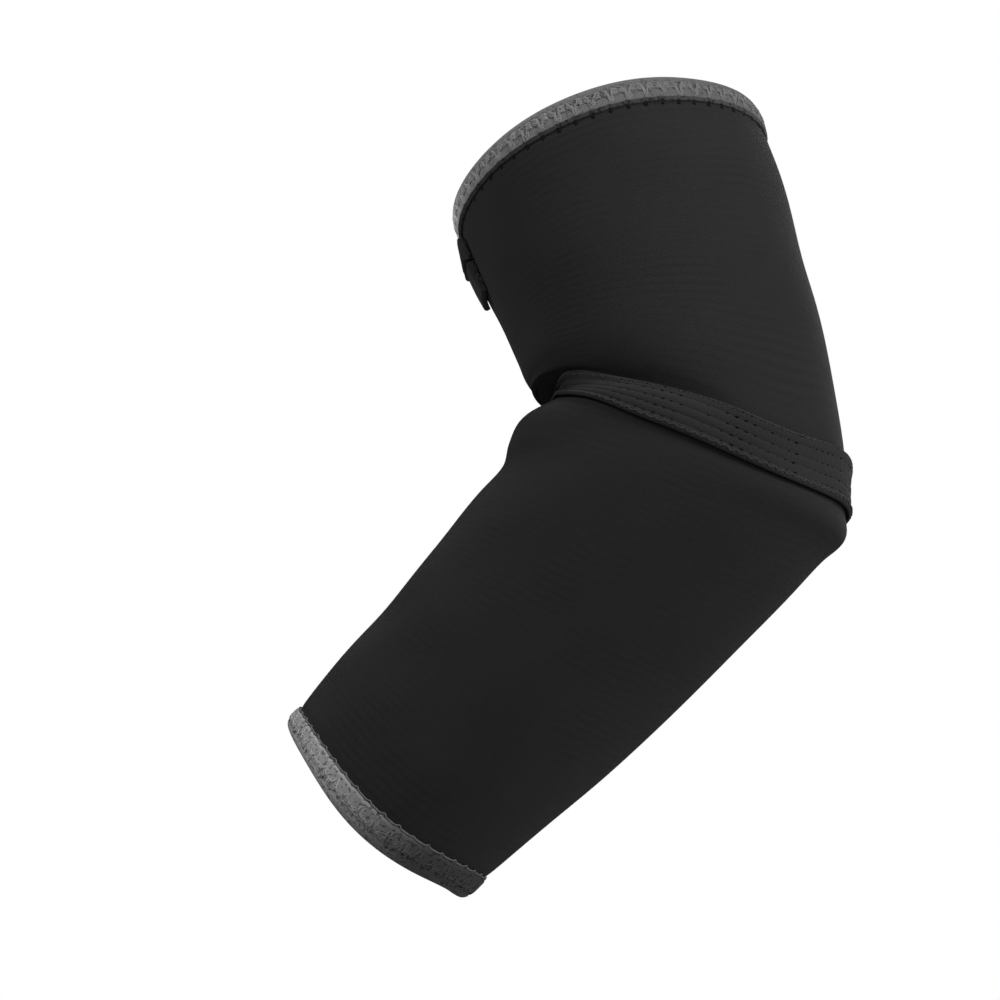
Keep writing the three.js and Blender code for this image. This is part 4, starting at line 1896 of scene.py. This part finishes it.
    def stitch_dent_shade(self) -> list[Bead]:
        """Painted shade of small dents in the cloth beside the tape, one at each stitch.

        Returns:
            One row of painted shade spots.
        """
        share = (self.width + 0.8) / self.guide_width
        size = (0.6, 0.65, 0.1)
        return [Bead(size=size, count=self.stitches, share=share, phase=0.02, uneven=0.25)]

    def sew(self, work: NeedleWork) -> bpy.types.Object:
        """Sews wispy floats, upright bundles to the sewn edge, and holes.

        Args:
            work: what sews threads and holes on a strip.

        Returns:
            The stitches.
        """
        if self.rim is Rim.UPPER:
            threads = [(GREY_THREAD, self.legs()), (WISP_THREAD, self.wisps())]
            # Painted shade in the dents beside the tape.
            sunk = self.stitch_dent_shade()
        else:
            tangle = self.wisps()[1:] + self.legs()[2:4]
            threads = [(FOREARM_THREAD, tangle), (EDGE_THREAD, [self.edge_line()])]
            sunk = []
        holes = [(NEEDLE_HOLE, self.marks()), (STITCH_DENT_SHADE, sunk)]
        return work.sew(self.guide(), self.stitches, self.thread_steps, threads, holes)

    def declare(self, piece: bpy.types.Object, stitches: bpy.types.Object) -> None:
        """Puts the tape and its stitches in their node's place and hides the binding's imported
        part.

        Args:
            piece: its finished object.
            stitches: the object of its stitches.
        """
        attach(piece, "root")
        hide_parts(self.name)
        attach(stitches, "root")
        girth = self.form.girth(float(self.distance(self.width / 2)))


@dataclass
class FrontTabs:
    """The two blank tabs sewn on the front of the upper arm.

    thicknesses are those where each tab is sewn, and folds those of its free end.
    """

    form: SleeveForm
    names: tuple[str, str] = ("upper_tab", "lower_tab")
    width: float = 13.0
    lengths: tuple[float, float] = (8.7, 13.2)
    thicknesses: tuple[float, float] = (2.2, 2.5)
    folds: tuple[float, float] = (3.3, 1.8)
    corner: float = 0.45
    side_drop: float = 0.3
    side_share: float = 0.9
    ripple: float = 0.1
    ripples: float = 2.5
    inset: float = 3.0
    spacing: float = 0.8
    turn: float = 12.0
    binding_width: float = 8.0
    rows: int = 28
    columns: int = 28
    corner_columns: int = 7

    def build(self, wardrobe: Wardrobe) -> list[bpy.types.Object]:
        """Makes the two tabs.

        Args:
            wardrobe: the sleeve's materials.

        Returns:
            The tabs, the upper one first.
        """
        start = self.binding_width + self.inset
        tabs = []
        for name, length, sewn, fold in zip(self.names, self.lengths, self.thicknesses, self.folds):
            points, run = self.outline(start, length, sewn, fold)
            tabs.append(self.loop_mesh(f"{name}_tape", points, run, wardrobe.get(SATIN)))
            start += length + self.spacing
        return tabs

    def outline(
        self, start: float, length: float, sewn: float, fold: float
    ) -> tuple[np.ndarray, np.ndarray]:
        """Finds the loops round one tab of folded tape, side by side across it.

        Args:
            start: where the tab starts, in millimetres from the upper rim.
            length: its length in millimetres.
            sewn: its thickness where it is sewn.
            fold: its thickness at its free end.

        Returns:
            The points in millimetres, by loop, and how far round a loop each column is, in metres.
        """
        half_turn = math.asin(self.width / self.form.arms[Arm.UPPER].rim_depth)
        middle = math.pi + math.radians(self.turn)
        across = np.sin(np.linspace(-math.pi / 2, math.pi / 2, self.columns))[:, None]
        share = np.linspace(0.0, 1.0, self.rows)[None, :]
        bend = np.linspace(0.0, math.pi / 2, self.corner_columns)[None, 1:]
        end = length - self.corner
        along = np.hstack([end * share, end + self.corner * np.sin(bend)])
        drop = np.hstack([0 * share, self.corner * (1 - np.cos(bend))])
        swell = along / length
        side = self.side_drop * smoothstep(self.side_share, 1.0, np.abs(across))
        ripple = self.ripple * np.sin(self.ripples * math.pi * across + 1) * swell
        top = self.form.clearance + lerp(sewn, fold, swell) - drop - side + ripple
        bottom = self.form.clearance + drop + 0 * across
        distance = start + np.hstack([along, along[:, ::-1]]) + 0 * across
        height = np.hstack([top, bottom[:, ::-1]])
        angle = middle + half_turn * across + 0 * distance
        run = np.hstack([along, length + fold + along[:, ::-1]])[0] * MM
        return self.form.place(distance, angle, height), run

    def loop_mesh(
        self, name: str, points: np.ndarray, run: np.ndarray, material: bpy.types.Material
    ) -> bpy.types.Object:
        """Makes a closed slab from loops of points, with both sides capped by strips.

        Args:
            name: the object's name.
            points: millimetres, by loop and then by place on it.
            run: how far round a loop each place is, in metres.
            material: its material.

        Returns:
            The slab.
        """
        count, around = points.shape[:2]
        faces = []
        for first in range(0, (count - 1) * around, around):
            for near in range(around):
                far = (near + 1) % around
                second = first + around
                faces.append((first + near, first + far, second + far, second + near))
        last = (count - 1) * around
        for near in range(around // 2 - 1):
            cap = (near, around - 1 - near, around - 2 - near, near + 1)
            faces.append(cap)
            faces.append(tuple(last + corner for corner in reversed(cap)))
        mesh = bpy.data.meshes.new(name)
        mesh.from_pydata((points.reshape(-1, 3) * MM).tolist(), [], faces)
        mesh.polygons.foreach_set("use_smooth", np.ones(len(faces), bool))
        layer = mesh.uv_layers.new(name="cloth")
        vertex = np.array([loop.vertex_index for loop in mesh.loops])
        uv = np.stack([vertex // around / count, run[vertex % around]], axis=-1)
        layer.data.foreach_set("uv", uv.reshape(-1).astype(np.float32))
        mesh.validate()
        mesh.materials.append(material)
        tab = bpy.data.objects.new(name, mesh)
        bpy.context.scene.collection.objects.link(tab)
        return tab

    def declare(self, tabs: list[bpy.types.Object]) -> None:
        """Puts each tab in its node's place.

        Args:
            tabs: the two tabs, the upper one first.
        """
        for tab, node in zip(tabs, self.names):
            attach(tab, "root")
            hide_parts(node)


@dataclass(frozen=True)
class Lamp:
    """One soft square light: its place and size in millimetres, and its power in watts."""

    name: str
    place: tuple[float, float, float]
    size: float
    power: float


@dataclass
class Studio:
    """The pale floor, the soft lights and the camera at the photograph's angle.

    azimuth and elevation are the camera's, in degrees. back, aside and above are the camera's place
    along its own axes from the elbow's middle, and floor_half is half the floor's width, all in
    millimetres.
    """

    azimuth: float = 17.5
    elevation: float = -18.0
    back: float = 800.0
    aside: float = -60.3
    above: float = -17.06
    focal_length: float = 97.92
    sensor: float = 36.0
    floor_half: float = 8000.0
    floor_drop: float = 700.0
    floor_glow: float = 0.96
    floor_roughness: float = 0.9
    pale: tuple[float, float, float, float] = (0.86, 0.86, 0.86, 1.0)
    white: tuple[float, float, float, float] = (1.0, 1.0, 1.0, 1.0)
    surround_seen: float = 1.0
    surround_light: float = 0.1
    lamps: tuple[Lamp, ...] = (
        Lamp("key", (700.0, -430.0, 560.0), 400.0, 11.4),
        Lamp("left", (-560.0, -560.0, 620.0), 360.0, 6.4),
        Lamp("low right", (880.0, -125.0, -440.0), 500.0, 3.0),
        Lamp("behind", (150.0, 800.0, 420.0), 500.0, 3.0),
    )

    def build(self) -> None:
        """Makes the whole studio."""
        self.build_camera()
        self.build_floor()
        self.build_world()
        for lamp in self.lamps:
            self.build_light(lamp)
        bpy.context.scene.view_settings.view_transform = "Standard"

    def build_camera(self) -> None:
        """The camera, which looks straight along its own axis."""
        turn, rise = math.radians(self.azimuth), math.radians(self.elevation)
        toward = Vector(
            (math.sin(turn) * math.cos(rise), -math.cos(turn) * math.cos(rise), math.sin(rise))
        )
        right = Vector((math.cos(turn), math.sin(turn), 0.0))
        up = toward.cross(right)
        place = (right * self.aside + up * self.above + toward * self.back) * MM
        data = bpy.data.cameras.new("camera")
        data.lens, data.sensor_width = self.focal_length, self.sensor
        camera = bpy.data.objects.new("camera", data)
        axes = Matrix((right, up, toward)).transposed()
        camera.matrix_world = Matrix.Translation(place) @ axes.to_4x4()
        bpy.context.scene.collection.objects.link(camera)
        bpy.context.scene.camera = camera

    def build_floor(self) -> None:
        """A wide pale floor well below the sleeve."""
        half, level = self.floor_half * MM, -self.floor_drop * MM
        ways = ((-1, -1), (1, -1), (1, 1), (-1, 1))
        corners = [(x * half, y * half, level) for x, y in ways]
        mesh = bpy.data.meshes.new("floor")
        mesh.from_pydata(corners, [], [(0, 1, 2, 3)])
        material = bpy.data.materials.new("pale floor")
        material.use_nodes = True
        shader = material.node_tree.nodes["Principled BSDF"]
        shader.inputs["Base Color"].default_value = self.pale
        shader.inputs["Roughness"].default_value = self.floor_roughness
        wiring = Wiring(material.node_tree)
        glow = wiring.add("ShaderNodeEmission", self.white, self.floor_glow).outputs[0]
        both = wiring.add("ShaderNodeAddShader", shader.outputs[0], glow).outputs[0]
        seen = wiring.add("ShaderNodeLightPath").outputs["Is Camera Ray"]
        mixed = wiring.add("ShaderNodeMixShader", seen, shader.outputs[0], both).outputs[0]
        wiring.give(material.node_tree.nodes["Material Output"].inputs["Surface"], mixed)
        mesh.materials.append(material)
        floor = bpy.data.objects.new("floor", mesh)
        bpy.context.scene.collection.objects.link(floor)

    def build_world(self) -> None:
        """A white surround for the camera that lights the sleeve only softly."""
        world = bpy.data.worlds.new("surround")
        bpy.context.scene.world = world
        world.use_nodes = True
        wiring = Wiring(world.node_tree)
        surface = world.node_tree.nodes["World Output"].inputs["Surface"]
        world.node_tree.nodes.remove(world.node_tree.nodes["Background"])
        seen = wiring.add("ShaderNodeBackground", self.white, self.surround_seen)
        lit = wiring.add("ShaderNodeBackground", self.white, self.surround_light)
        to_camera = wiring.add("ShaderNodeLightPath").outputs["Is Camera Ray"]
        mixed = wiring.add("ShaderNodeMixShader", to_camera, lit.outputs[0], seen.outputs[0])
        wiring.give(surface, mixed.outputs[0])

    def build_light(self, lamp: Lamp) -> None:
        """One soft square light that faces the sleeve.

        Args:
            lamp: its name, place, size and power.
        """
        data = bpy.data.lights.new(lamp.name, "AREA")
        data.size, data.energy = lamp.size * MM, lamp.power
        light = bpy.data.objects.new(lamp.name, data)
        light.location = Vector(lamp.place) * MM
        light.rotation_euler = light.location.to_track_quat("Z", "Y").to_euler()
        bpy.context.scene.collection.objects.link(light)


def report(piece: bpy.types.Object) -> None:
    """Logs one piece with its count of faces."""
    log.info("%s: %d faces", piece.name, len(piece.data.polygons))


def main() -> None:
    """Builds the sleeve over its frame, piece by piece, and its studio."""
    logging.basicConfig(level=logging.INFO, format="%(message)s")
    form = SleeveForm()
    wardrobe = Wardrobe()
    work = NeedleWork(wardrobe)
    Studio().build()

    front = FrontTabs(form)
    tabs = front.build(wardrobe)
    front.declare(tabs)
    for tab in tabs:
        report(tab)

    upper = ClothPanel(form, "upper_panel", Arm.UPPER, flat=(0.285, 0.1), rows=96)
    forearm = ClothPanel(form, "forearm_panel", Arm.FORE, flat=(0.27, 0.155), rows=150)
    for panel, on_it in ((upper, tabs), (forearm, [])):
        piece = panel.build(wardrobe)
        panel.declare(piece, on_it)
        report(piece)

    for trim in (ElbowBand(form), *(RimBinding(form, rim) for rim in Rim)):
        piece = trim.build(wardrobe)
        stitches = trim.sew(work)
        trim.declare(piece, stitches)
        report(piece)
        report(stitches)


if __name__ == "__main__":
    main()
